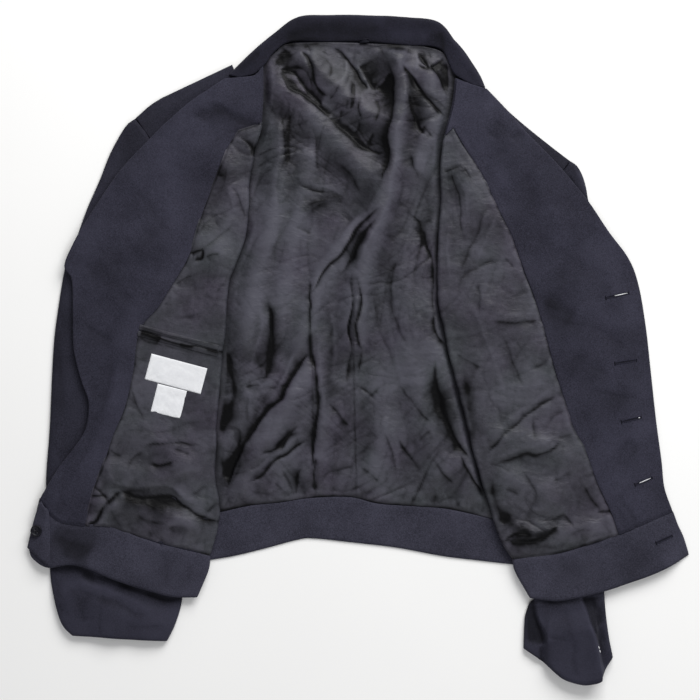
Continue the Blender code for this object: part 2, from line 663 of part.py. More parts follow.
def with_pleat(top, pleat, under_z):
    """Add the rolled fold and the layer under it to the last column of a grid."""
    ends = top[:, -1]
    heading = ends[:, :2] - top[:, -3, :2]
    heading /= np.linalg.norm(heading, axis=1)[:, None]
    low = under_z + neck_lift(ends[:, 0], ends[:, 1])
    radius, centre = (ends[:, 2] - low) / 2, (ends[:, 2] + low) / 2
    columns = [top[:, column] for column in range(top.shape[1])]
    for turn in np.linspace(np.pi / 2, -np.pi / 2, ROLL_STEPS + 1)[1:]:
        plan = ends[:, :2] + heading * (radius * np.cos(turn))[:, None]
        columns.append(raised(plan, centre + radius * np.sin(turn)))
    for share in even(PLEAT_COLUMNS)[1:]:
        plan = (1 - share) * ends[:, :2] + share * pleat
        columns.append(level(plan, under_z))
    return np.stack(columns, axis=1)


def build_front(jacket, front, slits):
    """Shell, facing and lining of one front, on one plan grid."""
    plan, pleat = front_plan(front)
    x, y = plan[..., 0], plan[..., 1]
    shell_z = front_height(front, x, y)
    shell = with_pleat(raised(plan, shell_z), pleat, PLEAT_SHELL_Z)
    shell = cloth(jacket, front.name + "_front_shell", shell, SHELL, TWILL)

    cells = np.zeros((plan.shape[0] - 1, plan.shape[1] - 1), dtype=bool)
    cells[:NECK_ROWS] = True
    cells[:, :FACING_COLUMNS] = True
    facing = cloth(jacket, front.name + "_front_facing", raised(plan, shell_z + FACING_RISE), FACING,
                   TWILL, kept=cells)

    body = plan[NECK_ROWS:, FACING_COLUMNS:].copy()
    body[:, 0, 0] -= front.side * GAP
    body[0, :, 1] -= GAP
    heights = front_lining_height(front, body[..., 0], body[..., 1])
    lining = with_pleat(raised(body, heights), pleat[NECK_ROWS:], PLEAT_LINING_Z)
    cloth(jacket, front.name + "_front_lining", lining, LINING, SATIN)

    for item in (shell, facing):
        cut_slits(item, slits)
    return plan[-1]


def build_band(jacket, front, seam, slits, turned_end=None):
    """A front's waistband: its inner end rolls under, and the outer end may turn back over it."""
    down = even(BAND_ROWS)
    across = np.linspace(0, 1, len(seam))
    inner = line_at(front.band_inner, down) + (front.side * BAND_REACH, 0)
    outer = line_at(front.band_end, down)
    if turned_end is not None:
        outer = outer + ((TURNED_END_RISE + BAND) / 2, 0)
    top = offset(seam, front.side * GAP)
    if turned_end is not None:
        top[0] = outer[0, 0], np.interp(outer[0, 0], top[:, 0], top[:, 1]) - TURNED_END_CLEAR
    top[-1] = inner[0] - (0, SPARE)
    low = line_at([tuple(outer[-1])] + front.band_low[1:-1] + [tuple(inner[-1])], across)
    outer[0], inner[0] = top[0], top[-1]
    plan = patch(top, low, outer, inner, across, down)
    grid = raised(plan, front_height(front, plan[..., 0], plan[..., 1]))
    ends = grid[:, -1]
    heading = ends[:, :2] - grid[:, -2, :2]
    heading /= np.linalg.norm(heading, axis=1)[:, None]
    radius, centre = (ends[:, 2] - BAND_UNDER_Z) / 2, (ends[:, 2] + BAND_UNDER_Z) / 2
    columns = [grid[:, column] for column in range(grid.shape[1])]
    for turn in np.linspace(np.pi / 2, -np.pi / 2, ROLL_STEPS + 1)[1:]:
        flat = ends[:, :2] + heading * (radius * np.cos(turn))[:, None]
        columns.append(raised(flat, centre + radius * np.sin(turn)))
    if turned_end is not None:
        columns = turned_columns(front, grid, turned_end, down) + columns
    band = cloth(jacket, front.name + "_front_waistband", np.stack(columns, axis=1), BAND, TWILL)
    cut_slits(band, slits)


def turned_columns(front, grid, edge, down):
    """Columns of the band's end that turns back over it, from its free edge to the fold."""
    fold = grid[:, 0]
    heading = fold[:, :2] - grid[:, 1, :2]
    heading /= np.linalg.norm(heading, axis=1)[:, None]
    half = TURNED_END_RISE / 2
    free = line_at(edge, down)
    columns = []
    for share in even(TURNED_END_COLUMNS)[:-1]:
        plan = (1 - share) * free + share * fold[:, :2]
        columns.append(raised(plan, front_height(front, plan[:, 0], plan[:, 1]) + TURNED_END_RISE))
    for turn in np.linspace(np.pi / 2, -np.pi / 2, ROLL_STEPS + 1)[:-1]:
        plan = fold[:, :2] + heading * half * np.cos(turn)
        columns.append(raised(plan, fold[:, 2] + half + half * np.sin(turn)))
    return columns


def build_shoulders(jacket):
    """The fronts' shoulder ends, outer side up, on the back's shoulders."""
    for shoulder in SHOULDERS:
        across = even(SHOULDER_COLUMNS)
        top, low = line_at(shoulder.top, across), line_at(shoulder.low, across)
        grid = np.stack([level((1 - share) * top + share * low, z) for share, z in SHOULDER_ROWS])
        grid[:, 0, 0] -= np.sign(grid[:, 0, 0]) * (ARMHOLE_SEAM + SPARE)
        cloth(jacket, shoulder.name + "_shoulder", grid, SHELL, TWILL)


# ---------------------------------------------------------------- sleeves and collar
def sleeve_height(sleeve, share, plan):
    """Outside height of a flattened sleeve: low under the front, full at the cuff."""
    low = np.array(sorted(sleeve.covered_by.band_low))
    below = np.interp(plan[..., 0], low[:, 0], low[:, 1]) - plan[..., 1]
    cuff = np.interp(share, [p.share for p in sleeve.cuff_heights], [p.height for p in sleeve.cuff_heights])
    return sleeve.height + (cuff - sleeve.height) * soft_step((below - CUFF_CLEAR) / CUFF_RAMP)


def build_sleeves(jacket):
    """Each sleeve is a flattened tube, open at the armhole and the cuff."""
    shares = np.array([0] + SLEEVE_TOP_SHARES + [1] + SLEEVE_UNDER_SHARES)
    far_edge = len(SLEEVE_TOP_SHARES) + 1
    order = np.argsort(shares, kind="stable")
    down = np.array(SLEEVE_ROW_SHARES)
    for sleeve in SLEEVES:
        armhole, cuff = line_at(sleeve.armhole, shares[order]), line_at(sleeve.cuff_end, shares[order])
        plan = patch(armhole, cuff, line_at(sleeve.outer, down), line_at(sleeve.inner, down),
                     shares[order], down)
        plan = plan[:, np.argsort(order)]
        height = sleeve_height(sleeve, shares[None, :], plan)
        outside_z = np.zeros(plan.shape[:2])
        outside_z[:, 1:far_edge] = height[:, 1:far_edge]
        inside_z = np.clip(outside_z, SHELL, height - SHELL)
        for edge in (0, far_edge):
            outside_z[:, edge] = inside_z[:, edge] = height[:, edge] / 2
        middle = (plan[:, :1] + plan[:, far_edge:far_edge + 1]) / 2
        width = np.linalg.norm(plan[:, :1] - plan[:, far_edge:far_edge + 1], axis=2, keepdims=True)
        narrowed = middle + (plan - middle) * (1 - 2 * SHELL / width)
        outward = -sleeve.covered_by.side
        tube(jacket, sleeve.name + "_sleeve", raised(plan, outside_z)[:, ::outward],
             raised(narrowed, inside_z)[:, ::outward], TWILL)


def build_collar(jacket):
    """The collar's inner side up to its roll, and the fall folded under the back's neck."""
    along = even(COLLAR_STATIONS)
    inner = offset(line_at(COLLAR_INNER, along), COLLAR_SEAM)
    outer = line_at(COLLAR_OUTER, along)
    shares = [p.share for p in COLLAR_SHAPE]
    seam_z = np.interp(along, shares, [p.seam_z for p in COLLAR_SHAPE])
    roll_z = np.interp(along, shares, [p.roll_z for p in COLLAR_SHAPE])
    fall = np.interp(along, shares, [p.fall for p in COLLAR_SHAPE])
    heading = outer - inner
    heading /= np.linalg.norm(heading, axis=1)[:, None]
    radius = (roll_z - FALL_Z) / 2
    crown = outer - heading * (radius + COLLAR / 2)[:, None]
    columns = []
    for share in even(COLLAR_COLUMNS):
        plan = (1 - share) * inner + share * crown
        columns.append(raised(plan, seam_z + (roll_z - seam_z) * soft_step(share)))
    for turn in np.linspace(np.pi / 2, -np.pi / 2, ROLL_STEPS + 1)[1:]:
        plan = crown + heading * (radius * np.cos(turn))[:, None]
        columns.append(raised(plan, FALL_Z + radius + radius * np.sin(turn)))
    for share in even(COLLAR_COLUMNS)[1:]:
        plan = crown - heading * (fall * share)[:, None]
        columns.append(raised(plan, np.full(len(along), FALL_Z)))
    cloth(jacket, "collar", np.stack(columns, axis=1), COLLAR, TWILL)


# ---------------------------------------------------------------- small pieces
def build_strips(jacket):
    """Pocket welts and blank labels, made from the lining's own heights and moved out."""
    for strip in WELTS + LABELS:
        start, end = np.array(strip.start), np.array(strip.end)
        run = (end - start) / np.linalg.norm(end - start)
        side = np.array([-run[1], run[0]])
        rows = [straight(start + side * strip.width * (0.5 - share), end + side * strip.width * (0.5 - share),
                         even(STRIP_COLUMNS)) for share in even(STRIP_ROWS)]
        plan = np.stack(rows)
        lining = front_lining_height(RIGHT_FRONT, plan[..., 0], plan[..., 1])
        grid = raised(plan, lining + LINING / 2 + STRIP_CLEAR + strip.wall / 2)
        cloth(jacket, strip.name, grid, strip.wall, strip.finish)


def build_buttons(jacket):
    """The waistband's button on its turned end, and the front's four, which hang under its edge."""
    def cloth_height(x, y):
        return front_height(RIGHT_FRONT, x, y)

    x, y = BAND_BUTTON
    z, tilt_x, tilt_y = resting_plane(cloth_height, x, y)
    button(jacket, "waistband_button", x, y, z + TURNED_END_RISE + BAND / 2 + BUTTON_CLEAR, tilt_x, tilt_y)
    for number, (x, y) in enumerate(HIDDEN_BUTTONS, start=1):
        z, tilt_x, tilt_y = resting_plane(cloth_height, x, y)
        z -= SHELL / 2 + BUTTON_CLEAR + BUTTON_DEPTH
        button(jacket, f"front_button_{number}", x, y, z, tilt_x, tilt_y)


def centre_on_floor(jacket):
    """Move the jacket so that its box is centred on the origin and stands on the floor."""
    bpy.context.view_layer.update()
    graph = bpy.context.evaluated_depsgraph_get()
    corners = []
    for item in jacket.pieces.objects:
        shape = item.evaluated_get(graph)
        corners += [item.matrix_world @ vertex.co for vertex in shape.to_mesh().vertices]
        shape.to_mesh_clear()
    points = np.array([tuple(corner) for corner in corners])
    low, high = points.min(axis=0), points.max(axis=0)
    jacket.root.location = (-(low[0] + high[0]) / 2, -(low[1] + high[1]) / 2, -low[2])


Jacket = namedtuple("Jacket", "root pieces cutters")


def main():
    clear_scene()
    root = bpy.data.objects.new("jacket_origin", None)
    bpy.context.scene.collection.objects.link(root)
    jacket = Jacket(root, collection("ike_jacket"), collection("cutters"))
    front_slits = [slit_cutter(jacket, slit) for slit in FRONT_BUTTONHOLES]
    band_slits = [slit_cutter(jacket, BAND_BUTTONHOLE)]
    build_back(jacket)
    right_seam = build_front(jacket, RIGHT_FRONT, [])
    left_seam = build_front(jacket, LEFT_FRONT, front_slits)
    build_band(jacket, RIGHT_FRONT, right_seam, [], turned_end=TURNED_END_EDGE)
    build_band(jacket, LEFT_FRONT, left_seam, band_slits)
    build_shoulders(jacket)
    build_sleeves(jacket)
    build_collar(jacket)
    build_strips(jacket)
    build_buttons(jacket)
    centre_on_floor(jacket)


main()
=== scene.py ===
"""Looks of an ike jacket that lies open on its back: cloth, creases, stitching, labels and light.

Plan sizes are in millimetres, +X right and +Y towards the collar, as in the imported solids.
Creases are written on a measuring grid laid over the jacket: squares of 1.08 mm, counted
right and down from its upper left corner. A plan is an array of points that start with x and y.
"""
import logging
import math
from dataclasses import dataclass, field
from enum import Enum
from typing import Callable, Optional, Sequence, Union

import bmesh
import bpy
import numpy as np
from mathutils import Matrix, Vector
from mathutils.bvhtree import BVHTree


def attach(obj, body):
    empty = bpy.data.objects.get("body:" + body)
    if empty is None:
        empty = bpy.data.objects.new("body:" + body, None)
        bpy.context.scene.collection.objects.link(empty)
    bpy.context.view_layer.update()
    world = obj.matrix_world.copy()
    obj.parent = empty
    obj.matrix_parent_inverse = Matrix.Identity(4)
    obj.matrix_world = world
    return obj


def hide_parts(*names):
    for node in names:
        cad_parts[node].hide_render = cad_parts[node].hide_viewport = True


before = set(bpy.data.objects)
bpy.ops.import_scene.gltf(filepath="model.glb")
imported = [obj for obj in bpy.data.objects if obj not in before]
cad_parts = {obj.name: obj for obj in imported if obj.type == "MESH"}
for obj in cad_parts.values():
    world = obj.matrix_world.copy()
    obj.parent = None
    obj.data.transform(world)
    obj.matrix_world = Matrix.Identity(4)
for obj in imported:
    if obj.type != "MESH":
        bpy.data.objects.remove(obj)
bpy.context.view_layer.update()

LOG = logging.getLogger("ike_jacket")
MM = 0.001
SQUARE = 1.08
GRID_ORIGIN = (356.5, 351.5)
SHIFT = np.array([-1.62, -0.776])

# Walls, and the heights of the middle of each layer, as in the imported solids
SHELL, LINING, FACING, BAND, COLLAR = 1.4, 1.0, 1.2, 2.4, 2.2
BACK_LINING_Z, PLEAT_LINING_Z, PLEAT_SHELL_Z, FRONT_Z = 2.4, 3.9, 5.4, 8.8
SKIN, FACING_RISE, FOLD_REACH = 1.5, 1.6, 3.7
BAND_Z, BAND_UNDER_Z, BAND_REACH, TURNED_RISE = 1.2, 4.1, 3.55, 3.8
FALL_Z = 1.1
LEAST_FILL = 0.301
LOWEST = 0.1
# Bounds of the painted shade: 1 is darkest, below 0 is a painted highlight
DARKEST, LIGHTEST = 1.0, -0.6
# A trough this deep or deeper keeps its full depth
STRONG = -2.3
UPWARDS = np.array([0.0, 0.0, 1.0])

Array = np.ndarray
Socket = bpy.types.NodeSocket
Points = Sequence[tuple[float, ...]]
Tint = tuple[float, float, float]
Store = tuple[list, list]
Maybe = Optional[Array]


# ---------------------------------------------------------------- lines, creases and noise
def path(text: str) -> list[tuple[float, ...]]:
    """Points from a line of text that has a comma between them."""
    return [tuple(float(number) for number in point.split()) for point in text.split(",")]


def rows_of(kind: type, table: str) -> list:
    """Creases or folds from a table."""
    rows = [row.split(":") for row in table.strip().replace(",\n", ", ").split("\n")]
    return [kind(*(float(number) for number in numbers.split()), line=path(line)) for numbers, line in rows]


def plan_of(squares: Points) -> Array:
    """Points of the measuring grid, as (right, down), in plan millimetres."""
    right, down = np.asarray(squares, dtype=float).T
    return np.column_stack([(right - GRID_ORIGIN[0]) * SQUARE, (GRID_ORIGIN[1] - down) * SQUARE])


def unit(vectors: Array) -> Array:
    """Rows of vectors brought to a length of 1."""
    return vectors / np.linalg.norm(vectors, axis=1)[:, None]


def dense_line(points: Points, steps: int = 12) -> Array:
    """Many points on a smooth curve through the given ones.

    Args:
        points: the curve's own points.
        steps: how many points stand for each span.

    Returns:
        Points along the curve.
    """
    given = np.array(points, dtype=float)
    ends = np.vstack([2 * given[0] - given[1], given, 2 * given[-1] - given[-2]])
    dense = []
    for i in range(1, len(ends) - 2):
        before, start, end, after = ends[i - 1:i + 3]
        for u in np.linspace(0, 1, steps, endpoint=False):
            dense.append(0.5 * (2 * start + (end - before) * u
                                + (2 * before - 5 * start + 4 * end - after) * u ** 2
                                + (3 * start - before - 3 * end + after) * u ** 3))
    dense.append(given[-1])
    return np.array(dense)


def line_at(points: Points, shares: Array) -> Array:
    """Points at the given shares, from 0 to 1, of a smooth curve's length.

    Args:
        points: the curve's own points.
        shares: shares of its length.

    Returns:
        One point for each share.
    """
    dense = dense_line(points)
    run = np.concatenate([[0], np.cumsum(np.linalg.norm(np.diff(dense, axis=0), axis=1))])
    where = np.asarray(shares) * run[-1]
    return np.column_stack([np.interp(where, run, dense[:, axis]) for axis in range(dense.shape[1])])


def even(count: int) -> Array:
    """Evenly spaced shares from 0 to 1, with count steps."""
    return np.linspace(0, 1, count + 1)


def edged(count: int, first: bool = True, last: bool = True) -> Array:
    """Even shares with two more close to each end that is asked for, so that an edge can roll.

    Args:
        count: the number of even steps.
        first: whether the start gets them.
        last: whether the end gets them.

    Returns:
        The shares in order.
    """
    step = 1.0 / count
    close = [0.18 * step, 0.5 * step]
    return np.array(sorted([*even(count), *close * first, *(1 - part for part in close * last)]))


def straight(start: Sequence[float], end: Sequence[float], shares: Array) -> Array:
    """Points at the given shares of a straight run from start to end."""
    shares = np.asarray(shares)[:, None]
    return (1 - shares) * np.asarray(start) + shares * np.asarray(end)


def offset(line: Array, distance: float) -> Array:
    """A line of points moved sideways, to the left of its own direction."""
    heading = unit(np.gradient(line, axis=0))
    return line + distance * np.column_stack([-heading[:, 1], heading[:, 0]])


def patch(top: Array, bottom: Array, left: Array, right: Array, across: Array, down: Array) -> Array:
    """Plan grid filled between four edge lines that meet at the corners.

    Args:
        top: first row of points.
        bottom: last row of points.
        left: first column of points.
        right: last column of points.
        across: share of each column.
        down: share of each row.

    Returns:
        Rows and columns of points.
    """
    s, t = across[None, :, None], down[:, None, None]
    sides = (1 - s) * left[:, None] + s * right[:, None]
    ends = (1 - t) * top[None] + t * bottom[None]
    upper = (1 - s) * top[0] + s * top[-1]
    lower = (1 - s) * bottom[0] + s * bottom[-1]
    return sides + ends - (1 - t) * upper - t * lower


def soft_step(x: Array) -> Array:
    """Smooth rise from 0 to 1 as x goes from 0 to 1."""
    x = np.clip(x, 0, 1)
    return x * x * (3 - 2 * x)


def bell(x: Array) -> Array:
    """Smooth fall from 1 to 0 as x goes away from 0."""
    return np.exp(-x ** 2)


def raised(plan: Array, heights: Union[Array, float]) -> Array:
    """A plan with its heights as the third coordinate."""
    heights = np.broadcast_to(np.asarray(heights, dtype=float), plan.shape[:-1])
    return np.concatenate([plan, heights[..., None]], axis=-1)


def edge_steps(count: int) -> Array:
    """How many steps each of a row of points is from the row's nearer end."""
    return np.minimum(np.arange(count), np.arange(count)[::-1])


def nearest_on(line: Array, plan: Array) -> tuple[Array, Array, Array]:
    """Where plan points lie against a line.

    Args:
        line: the line's points, in millimetres.
        plan: the points.

    Returns:
        Distance to the line, side of it (above 0 on its left), and share of its length.
    """
    x, y = plan[..., 0], plan[..., 1]
    best, side, share = np.full(x.shape, np.inf), np.zeros(x.shape), np.zeros(x.shape)
    lengths = np.linalg.norm(np.diff(line, axis=0), axis=1)
    run = np.concatenate([[0], np.cumsum(lengths)])
    for k, (start, end) in enumerate(zip(line[:-1], line[1:])):
        dx, dy = end - start
        t = np.clip(((x - start[0]) * dx + (y - start[1]) * dy) / (dx * dx + dy * dy + 1e-12), 0, 1)
        ox, oy = x - start[0] - t * dx, y - start[1] - t * dy
        distance = np.hypot(ox, oy)
        nearer = distance < best
        best = np.where(nearer, distance, best)
        side = np.where(nearer, dx * oy - dy * ox, side)
        share = np.where(nearer, (run[k] + t * lengths[k]) / run[-1], share)
    return best, side, share


def distance_to(line: Points, plan: Array) -> Array:
    """Distance of plan points to a line."""
    return nearest_on(np.array(line, dtype=float), plan)[0]


def turned(plan: Array, degrees: float) -> tuple[Array, Array]:
    """Distances of plan points along and across a heading."""
    (x, y), turn = np.moveaxis(plan[..., :2], -1, 0), math.radians(degrees)
    return x * math.cos(turn) + y * math.sin(turn), y * math.cos(turn) - x * math.sin(turn)


def lattice(u: Array, v: Array, seed: int) -> Array:
    """Smooth noise from 0 to 1 on a unit lattice.

    Args:
        u: where it is read, along the lattice.
        v: where it is read, across it.
        seed: which noise.

    Returns:
        The noise.
    """
    iu, iv = np.floor(u).astype(np.int64), np.floor(v).astype(np.int64)
    fu, fv = soft_step(u - iu), soft_step(v - iv)

    def corner(a: Array, b: Array) -> Array:
        """The lattice's value at whole numbers a and b."""
        mixed = np.sin(a * 127.1 + b * 311.7 + seed * 74.7) * 43758.5453
        return mixed - np.floor(mixed)

    upper = corner(iu, iv) * (1 - fu) + corner(iu + 1, iv) * fu
    lower = corner(iu, iv + 1) * (1 - fu) + corner(iu + 1, iv + 1) * fu
    return upper * (1 - fv) + lower * fv


@dataclass(frozen=True)
class Crease:
    """A soft ridge (height above 0) or trough (below 0), with its own width on each side."""

    height: float
    left: float
    right: float
    fade: float = 0.28
    line: Points = ()

    def flanks(self) -> tuple[float, float]:
        """Its widths: a narrow crease has one crisp flank, and one that eases out."""
        if max(self.left, self.right) > 4.5:
            return self.left, self.right
        even_start = round(self.line[0][0]) % 2 == 0
        if self.left < self.right or (self.left == self.right and even_start):
            return 0.75 * self.left, 1.9 * self.right
        return 1.9 * self.left, 0.75 * self.right

    def profile(self, plan: Array, spread: float = 1.0) -> Array:
        """The crease's share of its full height.

        Args:
            plan: points of the plan.
            spread: factor on both widths.

        Returns:
            A share from 0 to 1 for each point.
        """
        total = np.zeros(plan.shape[:-1])
        line = dense_line(plan_of(self.line), 4)
        left, right = self.flanks()
        reach = 3.6 * spread * max(left, right)
        near = ((plan > line.min(axis=0) - reach) & (plan < line.max(axis=0) + reach)).all(axis=-1)
        if near.any():
            distance, side, share = nearest_on(line, plan[near])
            ends = soft_step(share / self.fade) * soft_step((1 - share) / self.fade)
            width = spread * np.where(side > 0, left, right) * (0.4 + 0.6 * ends)
            total[near] = np.exp(-(distance / width) ** (1.12 if self.height < 0 else 1.4)) * ends
        return total


@dataclass(frozen=True)
class Crumple:
    """Fine uneven creasing of thin cloth, from folded lattice noise that is drawn out along one heading."""

    height: float
    cell: float
    stretch: float
    heading: float
    seed: int

    def relief(self, plan: Array) -> Array:
        """Height that the creasing adds at each plan point.

        Args:
            plan: points of the plan.

        Returns:
            A height for each point.
        """
        along, across = turned(plan, self.heading)
        u, v = along / (self.cell * self.stretch), across / self.cell
        bend = lattice(u * 0.6, v * 0.45, self.seed + 85) * 2.2
        total = np.zeros(u.shape)
        weight = 1.0
        for layer in range(3):
            noise = lattice(u * 2 ** layer + bend, v * 2 ** layer + bend * 1.4, self.seed + 17 * layer)
            total -= weight * (1 - np.abs(2 * noise - 1)) ** 3
            weight *= 0.45
        patches = 0.35 + 0.9 * lattice(u * 0.5 + 9, v * 0.3 + 4, self.seed + 136)
        return self.height * (total + 0.5) * patches


def crumpled(layers: Sequence[Crumple], plan: Array) -> Array:
    """Sum of some layers of fine creasing."""
    return sum(layer.relief(plan) for layer in layers)


def wandered(plan: Array, size: float) -> tuple[Array, Array]:
    """Plan points drifted unevenly, so that a crease drawn on them wanders and changes in depth.

    Args:
        plan: the points.
        size: factor on the drift; 0 keeps every point and full depth.

    Returns:
        The drifted points, and the share of its depth that a crease keeps at each of them.
    """
    x, y = plan[..., 0], plan[..., 1]
    drift_x, drift_y, kept = x, y, np.ones(x.shape)
    for cell, reach, depth in ((26.0, 3.4, 0.45), (10.0, 0.9, 0.35)):
        aside, ahead, deeper = (2 * lattice(x / cell, y / cell, seed) - 1 for seed in (78, 95, 112))
        drift_x = drift_x + size * reach * aside
        drift_y = drift_y + size * reach * ahead
        kept = kept + min(size, 1.0) * depth * deeper
    return np.stack([drift_x, drift_y], axis=-1), kept


def relief_of(creases: Sequence[Crease], plan: Array, spread: float = 1.0, drift: float = 1.0) -> Array:
    """Sum of what creases add to the height.

    Args:
        creases: the creases.
        plan: points of the plan.
        spread: factor on the creases' widths.
        drift: how far they wander.

    Returns:
        A height for each point.
    """
    spots, kept = wandered(plan, drift)
    total = np.zeros(kept.shape)
    for crease in creases:
        if crease.height > 0:
            share, wider = 0.55, 1.5
        else:
            share, wider = (0.7, 1.2) if crease.height > STRONG else (1.0, 1.0)
        total += share * crease.height * crease.profile(spots, spread * wider)
    return total * kept


def painted_shade_of(creases: Sequence[Crease], plan: Array, spread: float = 1.0, drift: float = 1.0) -> Array:
    """Painted shade in troughs (above 0) and painted highlights on ridges (below 0).

    Args:
        creases: the creases.
        plan: points of the plan.
        spread: factor on the creases' widths.
        drift: how far they wander.

    Returns:
        A shade for each point.
    """
    spots, kept = wandered(plan, drift)
    total = np.zeros(kept.shape)
    for crease in creases:
        depth = 7.0 if crease.height > 0 else 3.6 if crease.height > STRONG and crease.left < 4 else 2.8
        total -= crease.height / depth * crease.profile(spots, spread) ** 1.15
    return np.clip(total * kept, LIGHTEST, DARKEST)


def unevenness(plan: Array) -> Array:
    """Soft patches where the nap of heavier cloth lies lighter or darker."""
    u, v = turned(plan, 62.0)
    return 0.34 * (lattice(u / 88.0, v / 46.0, 88) - 0.5) + 0.16 * (lattice(u / 26.0, v / 17.0, 107) - 0.5)


def patchy(plan: Array, cell: float, low: float = 0.25, high: float = 1.5) -> Array:
    """An uneven factor, so that a line of painted shade comes and goes.

    Args:
        plan: points of the plan.
        cell: size of the patches.
        low: the factor where it is weakest.
        high: the factor where it is strongest.

    Returns:
        A factor for each point.
    """
    x, y = plan[..., 0], plan[..., 1]
    broad = lattice(x / cell, y / cell, 151)
    return low + (high - low) * broad * (0.5 + lattice(x * 2.7 / cell, y * 2.7 / cell, 185))


def painted_facet_shading(plan: Array) -> Array:
    """Painted light and shade on soft-edged planes of thin cloth: lighter (below 0) as if turned to the
    light, darker (above 0) as if turned away.

    Args:
        plan: points of the plan.

    Returns:
        A shade for each point.
    """
    spots, _ = wandered(plan, 2.2)
    total = np.zeros(plan.shape[:-1])
    for cell, heading, share, seed in ((36, 66, 0.32, 131), (20, 12, 0.22, 182), (11, -50, 0.12, 250)):
        along, across = turned(spots, heading)
        noise = lattice(along / (2.2 * cell), across / cell, seed)
        total += share * (soft_step((noise - 0.34) / 0.3) - 0.5)
    return total - 0.09


def blurred(z: Array, reach: int) -> Array:
    """A grid of heights smoothed over some grid steps to each side.

    Args:
        z: the heights.
        reach: how many steps.

    Returns:
        The smoothed heights.
    """
    weights = np.exp(-2.0 * (np.arange(-reach, reach + 1) / reach) ** 2)
    weights /= weights.sum()
    for axis in (0, 1):
        padded = np.pad(z, [(reach, reach) if k == axis else (0, 0) for k in (0, 1)], mode="edge")
        size = z.shape[axis]
        z = sum(w * np.take(padded, np.arange(i, i + size), axis=axis) for i, w in enumerate(weights))
    return z


def painted_hollow_shade(z: Array) -> Array:
    """Painted shade in the low places between the fine creases of a height grid; below 0, a painted highlight
    on their crests.
    """
    return np.clip(0.3 * ((blurred(z, 3) - z) / 0.28) + 0.32 * ((blurred(z, 9) - z) / 1.5), -0.25, 0.6)


def gathers(seam: str, count: int, length: float, height: float, seed: int) -> list[Crease]:
    """Short creases that run off a seam, uneven in length, depth and spacing.

    Args:
        seam: points of the seam on the measuring grid; the creases run off its left, going along it.
        count: how many creases.
        length: their usual length in squares.
        height: their usual height in millimetres.
        seed: starts the random numbers.

    Returns:
        The creases.
    """
    rng = np.random.default_rng(seed)
    points = path(seam)
    shares = np.clip((np.arange(count) + rng.uniform(0.1, 0.9, count)) / count, 0.01, 0.99)
    feet = line_at(points, shares)
    made = []
    for foot, along in zip(feet, unit(line_at(points, shares + 0.01) - line_at(points, shares - 0.01))):
        out = np.array([along[1], -along[0]]) + along * rng.normal(0, 0.35)
        reach = length * rng.uniform(0.45, 1.5)
        bend = along * rng.normal(0, 1.6)
        line = [tuple(foot - out * 1.5), tuple(foot + out * reach * 0.5 + bend), tuple(foot + out * reach)]
        side = rng.uniform(1.2, 2.4)
        depth = height * rng.uniform(0.3, 1.3) * rng.choice([-1, -1, 1])
        made.append(Crease(depth, side, side * rng.uniform(0.8, 1.9), 0.45, line))
    return made


# ---------------------------------------------------------------- shader maths
def _operation(name: str, swapped: bool = False) -> Callable[["Value", object], "Value"]:
    """An operator's method, which adds one Math node.

    Args:
        name: the node's operation.
        swapped: whether the other number comes first.

    Returns:
        The method.
    """
    def method(self: "Value", other: Union["Value", float, None] = None) -> "Value":
        """The node's result for this value and the other."""
        return self.result(name, *((other, self) if swapped else (self, other)))

    return method


class Value:
    """A socket that takes part in Python arithmetic; each operation adds one Math node."""

    def __init__(self, tree: bpy.types.NodeTree, socket: Socket) -> None:
        """Wraps a socket of a node tree."""
        self.tree = tree
        self.socket = socket

    def result(self, operation: str, *given: Union["Value", float, None]) -> "Value":
        """Adds a Math node.

        Args:
            operation: the node's operation.
            given: its inputs.

        Returns:
            The result.
        """
        node = self.tree.nodes.new("ShaderNodeMath")
        node.operation = operation
        for slot, number in enumerate(given):
            if isinstance(number, Value):
                self.tree.links.new(number.socket, node.inputs[slot])
            elif number is not None:
                node.inputs[slot].default_value = number
        return Value(self.tree, node.outputs[0])

    __add__ = __radd__ = _operation("ADD")
    __sub__, __rsub__ = _operation("SUBTRACT"), _operation("SUBTRACT", True)
    __mul__ = __rmul__ = _operation("MULTIPLY")
    __pow__ = _operation("POWER")
    sine, size = _operation("SINE"), _operation("ABSOLUTE")

    def clamped(self) -> "Value":
        """The value kept from 0 to 1."""
        lower = self.result("MAXIMUM", self, 0.0)
        return self.result("MINIMUM", lower, 1.0)


def colour(tint: Tint, factors: Sequence[float] = (1.0, 1.0, 1.0)) -> tuple[float, ...]:
    """An opaque colour: a tint with a factor on each of its parts."""
    return (*(part * factor for part, factor in zip(tint, factors)), 1.0)


